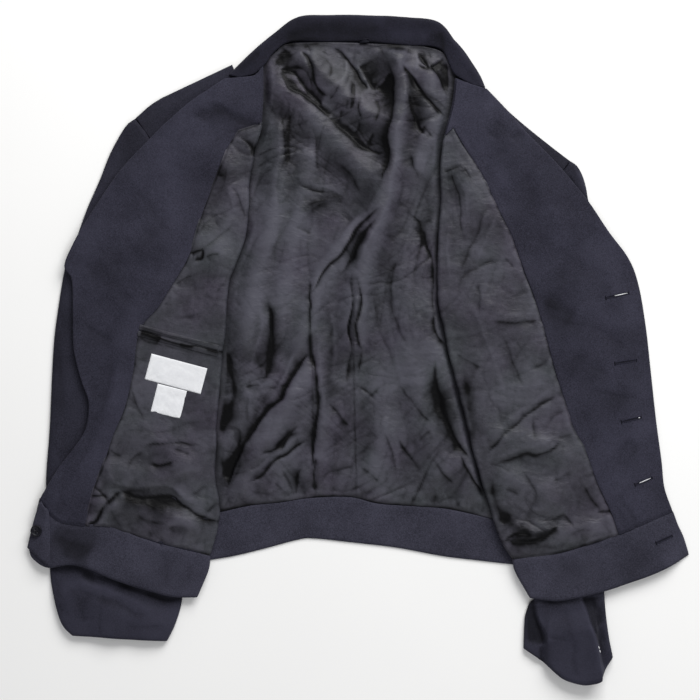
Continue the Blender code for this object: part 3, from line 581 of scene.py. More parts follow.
class Shades:
    """Builds one material's nodes."""

    def __init__(self, name: str) -> None:
        """Starts an empty node material.

        Args:
            name: the material's name.
        """
        self.material = bpy.data.materials.new(name)
        self.material.use_nodes = True
        self.tree = self.material.node_tree
        self.tree.nodes.clear()
        self.output = self.tree.nodes.new("ShaderNodeOutputMaterial")

    def node(self, kind: str, settings: Optional[dict] = None, **inputs: object) -> bpy.types.Node:
        """Adds a node.

        Args:
            kind: the node's type.
            settings: its properties, set before its sockets.
            inputs: a value or a link for each socket, named with underscores.

        Returns:
            The node.
        """
        made = self.tree.nodes.new(kind)
        for key, setting in (settings or {}).items():
            setattr(made, key, setting)
        for key, given in inputs.items():
            self.feed(made.inputs[key.replace("_", " ")], given)
        return made

    def feed(self, socket: Socket, given: object) -> None:
        """Gives a socket a value or a link.

        Args:
            socket: the socket.
            given: a number, a colour, a vector, a socket or a Value.
        """
        if isinstance(given, Value):
            given = given.socket
        if isinstance(given, Socket):
            self.tree.links.new(given, socket)
        else:
            socket.default_value = given

    def value(self, socket: Socket) -> Value:
        """A socket as a Value."""
        return Value(self.tree, socket)

    def shade(self) -> Value:
        """The painted shade that a piece's points carry: above 0 darker, below 0 a painted highlight."""
        source = self.node("ShaderNodeAttribute", {"attribute_name": "shade", "attribute_type": "GEOMETRY"})
        return self.value(source.outputs["Fac"])

    def place(self, scale: Sequence[float] = (1000, 1000, 1000), turn: float = 0.0) -> Socket:
        """Object coordinates in millimetres, drawn out and turned about Z."""
        source = self.node("ShaderNodeTexCoord").outputs["Object"]
        return self.node("ShaderNodeMapping", {"vector_type": "POINT"}, Vector=source,
                         Rotation=(0, 0, math.radians(turn)), Scale=scale).outputs[0]

    def noise(self, vector: Socket, scale: float, detail: float, rough: float) -> Value:
        """Noise from 0 to 1."""
        made = self.node("ShaderNodeTexNoise", Vector=vector, Scale=scale, Detail=detail, Roughness=rough)
        return self.value(made.outputs[0])

    def mix(self, share: Value, low: object, high: object) -> Socket:
        """A colour between two.

        Args:
            share: 0 gives the first, 1 the second.
            low: the first colour or link.
            high: the second colour or link.

        Returns:
            The colour socket.
        """
        made = self.node("ShaderNodeMix", {"data_type": "RGBA"})
        for slot, given in ((0, share), (6, low), (7, high)):
            self.feed(made.inputs[slot], given)
        return made.outputs[2]

    def bump(self, height: Value, distance: float, strength: float, below: Optional[Socket] = None) -> Socket:
        """A Bump node.

        Args:
            height: what stands out, from 0 to 1.
            distance: how far, in metres.
            strength: share of the full effect.
            below: a normal to lay it on.

        Returns:
            The normal socket.
        """
        made = self.node("ShaderNodeBump", Strength=strength, Distance=distance, Height=height)
        if below is not None:
            self.feed(made.inputs["Normal"], below)
        return made.outputs[0]

    def finish(self, **inputs: object) -> bpy.types.Material:
        """Adds the surface shader.

        Args:
            inputs: its sockets, named with underscores.

        Returns:
            The material.
        """
        shader = self.node("ShaderNodeBsdfPrincipled", None, **inputs)
        self.tree.links.new(shader.outputs[0], self.output.inputs[0])
        return self.material


@dataclass(frozen=True)
class Finish:
    """A material whose colour lies between two tints."""

    name: str
    dark: Tint
    light: Tint

    def between(self, shades: Shades, share: Value, low: Sequence[float] = (1.0, 1.0, 1.0),
                high: Sequence[float] = (1.0, 1.0, 1.0)) -> Socket:
        """A colour between the two tints."""
        return shades.mix(share, colour(self.dark, low), colour(self.light, high))

    def creased(self, shades: Shades, tint: Socket, deep: float, sharp: float) -> Socket:
        """The cloth's colour with painted shade in its troughs and painted highlights on its ridges.

        Args:
            shades: the material.
            tint: the cloth's own colour.
            deep: colour of the deepest painted shade, as a factor on the dark tint.
            sharp: colour of the brightest painted highlight, as a factor on the light tint.

        Returns:
            The colour socket.
        """
        shade = shades.shade()
        highlighted = shades.mix((shade * -1.0).clamped(), tint, colour(self.light, (sharp,) * 3))
        return shades.mix(shade.clamped(), highlighted, colour(self.dark, (deep,) * 3))


@dataclass(frozen=True)
class Twill(Finish):
    """Matte navy twill: fine diagonal ribs, speckled yarn, faint bands and a soft nap."""

    rib: float = 1.15
    rough: float = 0.78

    def material(self) -> bpy.types.Material:
        """The twill's material."""
        shades = Shades(self.name)
        spot = shades.place()
        ribs = shades.place(turn=58.0)
        across = shades.value(shades.node("ShaderNodeSeparateXYZ", Vector=ribs).outputs[0])
        yarn = shades.noise(spot, 0.62, 2.0, 0.7)
        wave = (across * (2 * math.pi / self.rib) + yarn * 2.0).sine() * 0.5 + 0.5
        speckle = shades.noise(spot, 1.05, 1.0, 0.5)
        cloud = shades.noise(spot, 0.022, 3.0, 0.6)
        share = wave * 0.24 + (yarn - 0.5) * 1.4 + (speckle - 0.5) * 1.7 + (cloud - 0.5) * 1.3 + 0.41
        # Painted shade in the troughs and painted highlights on the ridges
        tint = self.creased(shades, self.between(shades, share.clamped()), 0.12, 1.5)
        rough = (yarn - 0.5) * 0.16 + self.rough
        weave = shades.bump(wave * 0.5 + yarn * 0.8 + speckle * 0.5, 0.00016, 0.85)
        soft = shades.bump(shades.noise(spot, 0.07, 3.0, 0.55), 0.0014, 0.5, weave)
        return shades.finish(Base_Color=tint, Roughness=rough, Normal=soft, Specular_IOR_Level=0.12,
                             Sheen_Weight=0.05, Sheen_Roughness=0.5, Sheen_Tint=colour((0.62, 0.62, 0.8)))


@dataclass(frozen=True)
class Satin(Finish):
    """Charcoal lining: thin, lustrous, finely crumpled, with a faint weave."""

    rough: float
    wrinkles: tuple[Tint, ...] = ((24.0, 0.045, 0.0009), (-38.0, 0.06, 0.0007))

    def material(self) -> bpy.types.Material:
        """The lining's material."""
        shades = Shades(self.name)
        spot = shades.place()
        cloud = shades.noise(spot, 0.03, 4.0, 0.6)
        grain = shades.noise(spot, 0.8, 2.0, 0.65)
        mottle = shades.noise(spot, 0.16, 4.0, 0.65)
        share = (cloud * 1.1 - 0.05 + (grain - 0.5) * 1.1 + (mottle - 0.5) * 1.3).clamped()
        cool = self.between(shades, share)
        green = self.between(shades, share, (0.97, 1.06, 0.98), (0.97, 1.06, 0.96))
        plum = self.between(shades, share, (1.06, 0.96, 1.07), (1.06, 0.96, 1.07))
        hue = shades.noise(spot, 0.016, 3.0, 0.55)
        tint = shades.mix(((hue - 0.5) * 5.0).clamped(), cool, green)
        tint = shades.mix(((hue - 0.5) * -5.0).clamped(), tint, plum)
        # Painted shade in the troughs and painted highlights on the ridges
        tint = self.creased(shades, tint, 0.1, 1.6)
        # Metallic follows the painted shade, so that the deepest troughs lose their plain reflection and go
        # black
        shade_metallic = (shades.shade() * 0.55).clamped()
        crumpled_normal = shades.bump(grain + mottle * 1.5, 0.00016, 0.6)
        for turn, scale, depth in self.wrinkles:
            folds = shades.noise(shades.place((480, 1000, 1000), turn), scale, 3.0, 0.5)
            ridge = (1.0 - ((folds - 0.5) * 2.0).size()) ** 6.0
            crumpled_normal = shades.bump(ridge, depth, 0.3, crumpled_normal)
        rough = (cloud - 0.5) * 0.16 + self.rough
        return shades.finish(Base_Color=tint, Roughness=rough, Normal=crumpled_normal, Specular_IOR_Level=0.2,
                             Metallic=shade_metallic)


@dataclass(frozen=True)
class LabelCloth(Finish):
    """Woven label cloth: fine cross ribs and a little wear, where the second tint shows."""

    def material(self) -> bpy.types.Material:
        """The label's material."""
        shades = Shades(self.name)
        spot = shades.place()
        split = shades.node("ShaderNodeSeparateXYZ", Vector=shades.place(turn=15.0))
        warp = (shades.value(split.outputs[0]) * 9.0).sine()
        weft = (shades.value(split.outputs[1]) * 7.0).sine()
        wear = shades.noise(spot, 0.09, 4.0, 0.6)
        tint = self.between(shades, (wear * 1.8 - 0.55).clamped())
        cloth = shades.bump(warp * 0.3 + weft * 0.3 + wear, 0.00022, 0.8)
        return shades.finish(Base_Color=tint, Roughness=(wear - 0.5) * 0.2 + 0.62, Normal=cloth,
                             Specular_IOR_Level=0.35)


@dataclass(frozen=True)
class Horn(Finish):
    """Glossy moulded button: near-black with faint swirls and fine scratches."""

    def material(self) -> bpy.types.Material:
        """The button's material."""
        shades = Shades(self.name)
        swirl = shades.noise(shades.place((1000, 400, 1000), 20.0), 0.6, 4.0, 0.6)
        scratch = shades.noise(shades.place((300, 3000, 1000), 35.0), 1.0, 2.0, 0.5)
        tint = self.between(shades, (swirl * 2.0 - 0.8).clamped())
        return shades.finish(Base_Color=tint, Roughness=scratch * 0.18 + 0.3, Specular_IOR_Level=0.2,
                             Normal=shades.bump(scratch, 0.00005, 0.4))


@dataclass(frozen=True)
class Thread(Finish):
    """Sewing thread: a twisted ply with a dull shine."""

    def material(self) -> bpy.types.Material:
        """The thread's material."""
        shades = Shades(self.name)
        ply = shades.noise(shades.place((1000, 2600, 1000), 40.0), 1.4, 2.0, 0.5)
        tint = self.between(shades, (ply * 1.6 - 0.3).clamped())
        return shades.finish(Base_Color=tint, Roughness=ply * 0.2 + 0.62, Specular_IOR_Level=0.08,
                             Normal=shades.bump(ply, 0.0001, 0.7))


@dataclass(frozen=True)
class PaleFloor(Finish):
    """Plain pale studio floor."""

    def material(self) -> bpy.types.Material:
        """The floor's material."""
        shades = Shades(self.name)
        cloud = shades.noise(shades.place(), 0.004, 2.0, 0.5)
        return shades.finish(Base_Color=self.between(shades, cloud), Roughness=0.9)


class Cloth(Enum):
    """The finishes that pieces are made in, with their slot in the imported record."""

    # One navy twill in four tints, lighter or darker to match how bright each set of pieces looks where it
    # lies: lit and shaded copies that paint light and shade into the cloth's colour
    SHELL = (Twill("navy_twill_shell", (0.0118, 0.0115, 0.0195), (0.0345, 0.0338, 0.0530)), "navy_twill")
    BAND = (Twill("navy_twill_band", (0.0165, 0.0162, 0.0255), (0.0455, 0.0447, 0.0665)), "navy_twill")
    OUTSIDE = (Twill("navy_twill_outside", (0.0091, 0.0089, 0.0150), (0.0268, 0.0264, 0.0412)), "navy_twill")
    COLLAR = (Twill("navy_twill_collar", (0.0048, 0.0047, 0.0088), (0.0150, 0.0147, 0.0255)), "navy_twill")
    LINING = (Satin("charcoal_satin", (0.0262, 0.0258, 0.0336), (0.054, 0.0536, 0.0694), 0.47),
              "black_lining")
    WELT = (Satin("charcoal_welt", (0.0222, 0.0218, 0.0284), (0.047, 0.0465, 0.0598), 0.48), "black_lining")
    LABEL = (LabelCloth("blank_label", (0.83, 0.84, 0.87), (0.7, 0.71, 0.75)), "white_label")
    HORN = (Horn("moulded_horn", (0.003, 0.003, 0.006), (0.011, 0.011, 0.018)), "dark_button")
    NAVY_THREAD = (Thread("navy_thread", (0.006, 0.006, 0.012), (0.03, 0.03, 0.048)), "navy_twill")
    # Also the dark strip painted into each buttonhole's slit as its shadow
    DARK_THREAD = (Thread("dark_thread", (0.003, 0.003, 0.006), (0.012, 0.012, 0.018)), "navy_twill")
    WHITE_THREAD = (Thread("white_thread", (0.5, 0.5, 0.52), (0.85, 0.85, 0.88)), "white_label")

    def dress(self, item: bpy.types.Object) -> None:
        """Gives a piece this finish.

        Args:
            item: the piece.
        """
        finish, slot = self.value
        made = bpy.data.materials.get(finish.name) or finish.material()
        item.data.materials.clear()
        item.data.materials.append(made)


# ---------------------------------------------------------------- making pieces
def cells_of(rows: int, columns: int, kept: Maybe = None, closed: bool = False) -> Array:
    """Corners of a grid's cells.

    Args:
        rows: how many rows of points it has.
        columns: how many columns.
        kept: which cells are wanted.
        closed: whether the last column joins the first.

    Returns:
        Four indices of points for each cell.
    """
    index = np.arange(rows * columns).reshape(rows, columns)
    after = np.roll(index, -1, axis=1)
    cells = np.stack([index[:-1], index[1:], after[1:], after[:-1]], axis=-1)
    cells = cells if closed else cells[:, :-1]
    return cells.reshape(-1, 4) if kept is None else cells[kept]


@dataclass
class Workshop:
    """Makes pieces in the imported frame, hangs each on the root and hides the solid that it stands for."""

    shift: Array
    made: list[str] = field(default_factory=list)

    def piece(self, name: str, points: Array, faces: Sequence, cloth: Cloth, node: Optional[str] = None,
              lip: float = 0.0, shade: Maybe = None) -> bpy.types.Object:
        """A smooth piece that rides on the jacket.

        Args:
            name: the piece's name.
            points: its points, in millimetres.
            faces: its faces.
            cloth: its finish.
            node: the solid that it stands for.
            lip: how far its open edges turn under, in millimetres.
            shade: painted shade of the cloth at the first of the points; below 0, a painted highlight.

        Returns:
            The piece.
        """
        data = bpy.data.meshes.new(name)
        data.from_pydata(((points + np.append(self.shift, 0)) * MM).tolist(), [], faces)
        # Painted shade and painted highlights go on the points, for the material to read
        if shade is not None:
            values = np.zeros(len(points), dtype=np.float32)
            values[:shade.size] = shade.ravel()
            data.attributes.new("shade", "FLOAT", "POINT").data.foreach_set("value", values)
        shape = bmesh.new()
        shape.from_mesh(data)
        bmesh.ops.delete(shape, geom=[v for v in shape.verts if not v.link_faces], context="VERTS")
        if not any(edge.is_boundary for edge in shape.edges):
            bmesh.ops.recalc_face_normals(shape, faces=shape.faces)
        shape.normal_update()
        if lip:
            self.turn_under(shape, lip)
        shape.to_mesh(data)
        shape.free()
        data.shade_smooth()
        item = bpy.data.objects.new(name, data)
        bpy.context.scene.collection.objects.link(item)
        self.made.append(name)
        cloth.dress(item)
        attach(item, "root")
        if node is not None:
            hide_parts(node)
        LOG.info("piece %s: %d faces", name, len(data.polygons))
        return item

    def turn_under(self, shape: bmesh.types.BMesh, lip: float) -> None:
        """Turns the open edges of a sheet down by the thickness of its cloth.

        Args:
            shape: the sheet.
            lip: how far, in millimetres.
        """
        rim = [edge for edge in shape.edges if edge.is_boundary]
        normals = {tuple(round(c, 7) for c in v.co): v.normal.copy() for edge in rim for v in edge.verts}
        grown = bmesh.ops.extrude_edge_only(shape, edges=rim)["geom"]
        for vertex in (g for g in grown if isinstance(g, bmesh.types.BMVert)):
            vertex.co -= normals[tuple(round(c, 7) for c in vertex.co)] * lip * MM
            vertex.co.z = max(vertex.co.z, LOWEST * MM)
        shape.normal_update()

    def sheet(self, name: str, grid: Array, cloth: Cloth, node: str, kept: Maybe = None,
              lip: float = 0.0, rests_on: Sequence[str] = (), closed: bool = False,
              shade: Maybe = None) -> None:
        """A sheet of cloth from a grid of its upper face's points.

        Args:
            name: the piece's name.
            grid: rows and columns of points in millimetres.
            cloth: its finish.
            node: the solid that it stands for.
            kept: which cells are cloth.
            lip: how far its open edges turn under.
            rests_on: what it lies on; not used.
            closed: whether the last column joins the first.
            shade: painted shade of the cloth at the grid's points; below 0, a painted highlight.
        """
        cells = cells_of(*grid.shape[:2], kept, closed)
        flat = grid.reshape(-1, 3)
        quads = flat[cells]
        cross = np.cross(quads[:, 2] - quads[:, 0], quads[:, 3] - quads[:, 1])
        outwards = (quads.mean(axis=1) - flat.mean(axis=0)) * UPWARDS if closed else UPWARDS
        faces = cells[:, ::-1] if (cross * outwards).sum() < 0 else cells
        item = self.piece(name, flat, faces.tolist(), cloth, node, lip, shade)
        self.state_cut(grid, cells)

    def walled(self, name: str, grid: Array, thick: float, cloth: Cloth, node: Optional[str],
               rests_on: Sequence[str], shade: Optional[Callable[[Array], Array]] = None) -> None:
        """A closed wall of cloth from a grid of its middle points.

        Args:
            name: the piece's name.
            grid: rows and columns of points in millimetres.
            thick: the wall's thickness.
            cloth: its finish.
            node: the solid that it stands for.
            rests_on: what it lies on; not used.
            shade: gives the painted shade of the cloth at plan points.
        """
        points, faces = wall(grid, thick)
        dark = None if shade is None else shade(points[:, :2])
        item = self.piece(name, points, faces, cloth, node, shade=dark)
        self.state_cut(grid, cells_of(*grid.shape[:2]))

    def state_cut(self, grid: Array, cells: Array) -> None:
        """Works out the area of a sheet's flat cut, held between a least fill and its full span; the result
        is not kept.

        Args:
            grid: rows and columns of its points.
            cells: corners of its cells.
        """
        quads = grid.reshape(-1, 3)[cells]
        cross = np.cross(quads[:, 2] - quads[:, 0], quads[:, 3] - quads[:, 1])
        across = float(np.linalg.norm(np.diff(grid, axis=1), axis=2).sum(axis=1).max())
        along = float(np.linalg.norm(np.diff(grid, axis=0), axis=2).sum(axis=0).max())
        area = max(float(np.linalg.norm(cross, axis=1).sum()) / 2, LEAST_FILL * across * along)
        area = min(area, across * along)

    def top_of(self, name: str, spot: Array) -> float:
        """Height, in millimetres, of the top of a finished piece at a plan point.

        Args:
            name: the piece's name.
            spot: the point.

        Returns:
            The height.
        """
        data = bpy.data.objects[name].data
        tree = BVHTree.FromPolygons([v.co for v in data.vertices], [p.vertices for p in data.polygons])
        x, y = (spot + self.shift) * MM
        return tree.ray_cast(Vector((x, y, 1.0)), Vector((0.0, 0.0, -1.0)))[0].z / MM


def rolled(top: Array, low: Array, steps: int, reach: Maybe = None, reach_steps: int = 0,
           back: int = 3) -> Array:
    """Adds a rolled fold to the last column of a grid, and the layer that returns under it.

    Args:
        top: rows and columns of points.
        low: height of the layer under the fold, for each row.
        steps: columns in the roll.
        reach: where the under layer ends in plan, for each row.
        reach_steps: columns in the under layer.
        back: which column from the end gives the heading.

    Returns:
        The longer grid.
    """
    ends = top[:, -1]
    heading = unit(ends[:, :2] - top[:, -back, :2])
    radius, centre = (ends[:, 2] - low) / 2, (ends[:, 2] + low) / 2
    columns = list(top.swapaxes(0, 1))
    for turn in np.linspace(np.pi / 2, -np.pi / 2, steps + 1)[1:]:
        plan = ends[:, :2] + heading * (radius * np.cos(turn))[:, None]
        columns.append(raised(plan, centre + radius * np.sin(turn)))
    if reach is not None:
        columns += [raised((1 - share) * ends[:, :2] + share * reach, low) for share in even(reach_steps)[1:]]
    return np.stack(columns, axis=1)


def skin(grid: Array, distance: float) -> Array:
    """A grid moved off its own surface, upwards where its first column lies flat.

    Args:
        grid: rows and columns of points.
        distance: how far, in millimetres.

    Returns:
        The moved grid.
    """
    normal = np.cross(np.gradient(grid, axis=0), np.gradient(grid, axis=1))
    normal /= np.linalg.norm(normal, axis=2, keepdims=True) + 1e-9
    return grid + normal * distance * np.sign(np.median(normal[:, :3, 2]))


def wall(grid: Array, thick: float) -> tuple[Array, list]:
    """A closed wall of cloth about a grid of middle points, with rounded rims.

    Args:
        grid: rows and columns of points.
        thick: the wall's thickness.

    Returns:
        Its points and faces.
    """
    rows, columns = grid.shape[:2]
    under = rows * columns
    cells = cells_of(rows, columns)
    faces = np.stack([cells, under + cells[:, [0, 3, 2, 1]]], axis=1).reshape(-1, 4).tolist()
    index = np.arange(under).reshape(rows, columns)
    rim = np.concatenate([index[0], index[1:, -1], index[-1, -2::-1], index[-2:0:-1, 0]])
    row, column = rim // columns, rim % columns
    spots = grid[row, column]
    out = spots - grid[np.clip(row, 1, rows - 2), np.clip(column, 1, columns - 2)]
    out /= np.linalg.norm(out, axis=1)[:, None] + 1e-9
    middle = 2 * under + np.arange(len(rim))
    around = np.column_stack([rim, np.roll(rim, -1), middle, np.roll(middle, -1)])
    for a, b, here, there in around.tolist():
        faces += [(a, b, there, here), (under + a, here, there, under + b)]
    upper, lower = skin(grid, thick / 2), skin(grid, -thick / 2)
    return np.vstack([upper.reshape(-1, 3), lower.reshape(-1, 3), spots + out * thick * 0.45]), faces


# ---------------------------------------------------------------- the jacket's forms
@dataclass(frozen=True)
class Fold:
    """A broad soft ridge of the solid, along a line in plan millimetres."""

    width: float
    height: float
    rise: float = 0.0
    line: Points = ()

    def relief(self, plan: Array) -> Array:
        """Height that the fold adds at each plan point.

        Args:
            plan: points of the plan.

        Returns:
            A height for each point.
        """
        distance, _, share = nearest_on(np.array(self.line), plan)
        grown = 0.3 + 0.7 * soft_step(share / self.rise) if self.rise else 1.0
        return self.height * grown * bell(distance / self.width)


def neck_lift(plan: Array) -> Array:
    """Rise of the back, and all on it, over the collar's fall."""
    x, y = plan[..., 0], plan[..., 1]
    return 2.6 * soft_step((x + 212) / 70) * soft_step((212 - x) / 70) * soft_step((y - 200) / 65)


@dataclass(frozen=True)
class FrontForm:
    """One front as cut and laid: its edge lines from the collar end to the waist seam, and its folds."""

    name: str
    side: int
    neck_free: Points
    body_free: Points
    neck_guide: Points
    body_guide: Points
    neck_fold: Points
    body_fold: Points
    neck_pleat: Points
    body_pleat: Points
    gorge_outer: Points
    gorge_inner: Points
    seam_outer: Points
    seam_inner: Points
    band_end: Points
    band_low: Points
    band_inner: Points
    edge_line: Points
    edge_z: float
    edge_ramp: float
    edge_start: float
    edge_gate: float
    folds: Sequence[Fold]
    lining_folds: Sequence[Fold]

    def shell_z(self, plan: Array) -> Array:
        """Middle of the shell over the floor: flat on the sleeve, its edge falling away.

        Args:
            plan: points of the plan.

        Returns:
            A height for each point.
        """
        near = soft_step(1 - distance_to(self.edge_line, plan) / self.edge_ramp)
        near = near * soft_step((self.edge_start - plan[..., 1]) / self.edge_gate)
        folds = sum(fold.relief(plan) for fold in self.folds)
        return FRONT_Z - (FRONT_Z - self.edge_z) * near + folds * (1 - near) + neck_lift(plan)

    def lining_z(self, plan: Array) -> Array:
        """Upper face of the lining, without its creases."""
        return self.shell_z(plan) + SKIN + LINING / 2 + sum(fold.relief(plan) for fold in self.lining_folds)

    def facing_z(self, plan: Array) -> Array:
        """Upper face of the facing, without its creases."""
        return self.shell_z(plan) + FACING_RISE + FACING / 2

    def seam(self) -> Array:
        """The line where the lining is sewn to the facing, from the inner fold to the waist."""
        start = np.array(self.body_fold[0]) + (self.side * FOLD_REACH, 0)
        return np.vstack([[start], dense_line(self.body_guide, 6)])


@dataclass(frozen=True)
class SleeveForm:
    """One sleeve laid flat: its edge lines in plan, and heights across the cuff as shares of the width."""

    name: str
    outer: Points
    inner: Points
    armhole: Points
    cuff_end: Points
    covered_by: FrontForm
    height: float
    cuff_heights: Points


# ---------------------------------------------------------------- sizes of the panels
RIGHT_FRONT = FrontForm(
    name="right",
    side=-1,
    neck_free=path("-142 293, -158 282, -179 268, -209 242"),
    body_free=path("-209 242, -244 206, -264 181, -289 143, -304 117, -314 92, -306 77, -305 40, -304 2, "
                   "-296 -31, -288 -55, -291 -83, -303 -103, -318 -122, -330 -141, -341 -160"),
    neck_guide=path("-119 295, -122 272, -126 237"),
    body_guide=path("-126 237, -136 223, -145 200, -164 153, -179 105, -198 71, -213 47, -233 22, "
                    "-240 -23, -249 -61, -262 -92, -271 -120, -281 -145, -292 -188"),
    neck_fold=path("-98 305, -98 279, -100 244"),
    body_fold=path("-100 244, -110 210, -115 178, -118 128, -130 94, -138 66, -141 26, -144 -12, -149 -60, "
                   "-151 -105, -150 -142, -146 -178, -157 -219"),
    neck_pleat=path("-115 300, -118 272, -123 241"),
    body_pleat=path("-123 241, -142 207, -164 164, -178 120, -184 56, -186 -40, -182 -160, -180 -217"),
    gorge_outer=path("-142 293, -119 295"),
    gorge_inner=path("-119 295, -109 297, -98 305"),
    seam_outer=path("-341 -160, -332 -173, -318 -184, -292 -188"),
    seam_inner=path("-292 -188, -264 -189, -234 -200, -199 -210, -157 -219"),
    band_end=path("-341 -160, -349 -184, -356 -212"),
    band_low=path("-356 -212, -349 -222, -332 -232, -309 -229, -289 -233, -264 -244, -234 -254, -199 -263, "
                  "-171 -264"),
    band_inner=path("-157 -219, -159 -235, -171 -264"),
    edge_line=path("-318 -122, -330 -141, -341 -160, -349 -184, -356 -212"),
    edge_z=3.6,
    edge_ramp=28,
    edge_start=-150,
    edge_gate=50,
    folds=rows_of(Fold, """
18 4: -214 62, -240 38, -252 12, -258 -31, -268 -66, -280 -100, -304 -140, -322 -160
22 4: -158 212, -196 216, -236 188
20 3: -148 272, -192 246
32 2.5: -196 128, -268 88
"""),
    lining_folds=rows_of(Fold, """
14 3.5: -140 200, -136 172
15 3: -168 128, -150 104
14 4.5: -262 -128, -222 -134, -186 -122
13 5: -274 -160, -232 -168, -184 -186
15 3: -236 -92, -200 -104
"""),
)
LEFT_FRONT = FrontForm(
    name="left",
    side=1,
    neck_free=path("140 282, 159 262, 182 236"),
    body_free=path("182 236, 199 219, 220 197, 248 163, 271 129, 293 100, 304 72, 312 26, 317 -19, "
                   "323 -74, 329 -119, 332 -147, 341 -173"),
    neck_guide=path("123 287, 115 259, 104 240"),
    body_guide=path("104 240, 117 218, 134 191, 150 158, 167 123, 180 87, 192 55, 202 22, 214 -23, "
                    "224 -53, 233 -82, 245 -104, 258 -140, 273 -172, 282 -197"),
    neck_fold=path("104 293, 101 266, 92 232"),
    body_fold=path("92 232, 89 191, 90 160, 87 115, 88 52, 99 -1, 108 -35, 119 -82, 131 -129, 144 -172, "
                   "157 -205, 167 -223"),
    neck_pleat=path("123 282, 120 259, 116 232"),
    body_pleat=path("116 232, 131 174, 140 120, 141 52, 146 -1, 153 -52, 160 -96, 166 -139, 171 -182, "
                    "177 -221"),
    gorge_outer=path("140 282, 123 287"),
    gorge_inner=path("123 287, 104 293"),
    seam_outer=path("341 -173, 308 -186, 282 -197"),
    seam_inner=path("282 -197, 245 -209, 212 -218, 167 -223"),
    band_end=path("341 -173, 346 -187, 352 -200, 358 -219"),
    band_low=path("358 -219, 341 -229, 320 -239, 295 -248, 265 -258, 240 -264, 214 -268, 186 -265"),
    band_inner=path("167 -223, 171 -238, 186 -265"),
    edge_line=path("271 129, 293 100, 304 72, 312 26, 317 -19, 323 -74, 329 -119, 332 -147, 341 -173, "
                   "352 -200, 358 -219"),
    edge_z=1.6,
    edge_ramp=30,
    edge_start=137,
    edge_gate=65,
    folds=rows_of(Fold, """
26 3: 146 238, 196 186, 222 140
30 2.5: 228 70, 250 -10, 262 -70
20 3: 262 -118, 290 -165, 300 -205
"""),
    lining_folds=rows_of(Fold, """
13 3: 118 190, 134 146
15 3: 140 44, 176 24
14 3.5: 150 -92, 190 -98, 222 -112
13 4.5: 176 -196, 214 -200, 252 -190
15 3.5: 170 -140, 214 -158
"""),
)
BACK_TOP = path("-239 251, -219 268, -196 280, -168 290, -148 292, -132 291, -117 303, -103 315, -88 323, "
                "-70 333, 8 333, 90 325, 103 313, 116 301, 126 288, 136 274, 150 266, 167 254, 192 235, "
                "212 219, 231 205")
BACK_RIGHT_ARMHOLE = path("-239 251, -222 227, -209 185, -197 138")
BACK_LEFT_ARMHOLE = path("231 205, 220 192, 209 174, 199 151, 190 127")
RIGHT_SIDE_SEAM = path("-197 138, -190 99, -188 56, -190 2, -188 -85, -185 -150, -182 -182")
LEFT_SIDE_SEAM = path("190 127, 168 88, 156 45, 155 -1, 159 -52, 165 -96, 169 -139, 173 -188")
WAIST_SEAM = path("-182 -182, -141 -172, -113 -166, -83 -163, -50 -158, -7 -157, 23 -164, 63 -167, "
                  "99 -170, 144 -180, 173 -188")
BACK_HEM = path("-178 -228, -157 -224, -133 -220, -100 -212, -62 -202, -45 -201, -7 -205, 44 -211, "
                "93 -220, 134 -225, 177 -230")
NECK_SEAM = path("-98 309, -88 322, -70 332, 8 332, 90 324, 103 298")
BACK_FOLDS = rows_of(Fold, """
15 11: 44 314, 48 279, 44 238, 33 178, 14 115, 0 60, -2 10
17 9: -82 286, -55 258, -18 222, 10 192
16 9: -50 308, -14 276, 22 248
14 8: -82 236, -84 180, -98 120, -112 66, -120 10
15 6: -52 206, -62 150, -76 90, -84 30
14 7 0.3: 18 152, -18 108, -46 60, -60 10
14 8: 78 300, 80 244, 66 196
15 8 0.4: -30 2, -68 -48, -100 -100, -122 -146
14 6 0.6: -18 -38, -34 -90, -48 -136
18 6 0.4: 54 108, 58 20, 70 -60, 92 -124
16 5 0.6: 20 -26, 28 -90, 18 -136
14 5 0.4: 76 92, 84 10, 104 -70, 124 -150
""")
COLLAR_INNER = path("-126 294, -109 299, -98 310, -88 323, -70 334, -29 334, 8 334, 52 330, 90 326, "
                    "105 299, 127 285")
COLLAR_OUTER = path("-138 298, -124 312, -106 329, -88 344, -63 361, -29 363, 4 363, 47 361, 87 356, "
                    "106 336, 119 320, 133 298, 139 284")
# Along the collar: share, height of the seam, height of the roll, depth of the fall
COLLAR_SHAPE = np.array(path("0 10.8 10.8 14, 0.12 9.5 9.8 24, 0.24 6.4 8.4 40, 0.5 5.4 7.9 50, "
                             "0.76 6.4 8.4 40, 0.88 9.5 9.8 24, 1 10.8 10.8 14"))
RIGHT_STRIP = (path("-239 251, -219 268, -196 280, -166 294, -134 309"),
               path("-222 227, -207 237, -180 252, -153 267, -124 284"))
LEFT_STRIP = (path("231 205, 212 219, 192 235, 167 256, 155 268"),
              path("215 183, 204 194, 182 212, 160 234, 142 250"))
TURNED_END_EDGE = path("-331 -170, -330 -193, -330 -231")
BAND_BUTTON = (-344.2, -192.8)
HIDDEN_BUTTONS = path("-286 58, -286 -7, -272 -72, -307 -132")
RIGHT_SLEEVE = SleeveForm(
    name="right",
    outer=path("-239 251, -249 243, -265 215, -277 185, -291 153, -304 117, -314 92, -322 45, -327 2, "
               "-331 -82, -335 -147, -331 -232, -328 -258, -322 -284, -316 -297, -307 -306"),
    inner=path("-204 136, -200 99, -198 56, -199 2, -197 -85, -193 -160, -188 -225, -188 -266, -195 -293, "
               "-204 -312"),
    armhole=path("-239 251, -222 227, -209 185, -204 136"),
    cuff_end=path("-307 -306, -273 -308, -246 -310, -204 -312"),
    covered_by=RIGHT_FRONT,
    height=5.0,
    cuff_heights=path("0 8, 0.22 9, 0.42 11.5, 0.6 9, 0.8 10.5, 1 8"),
)
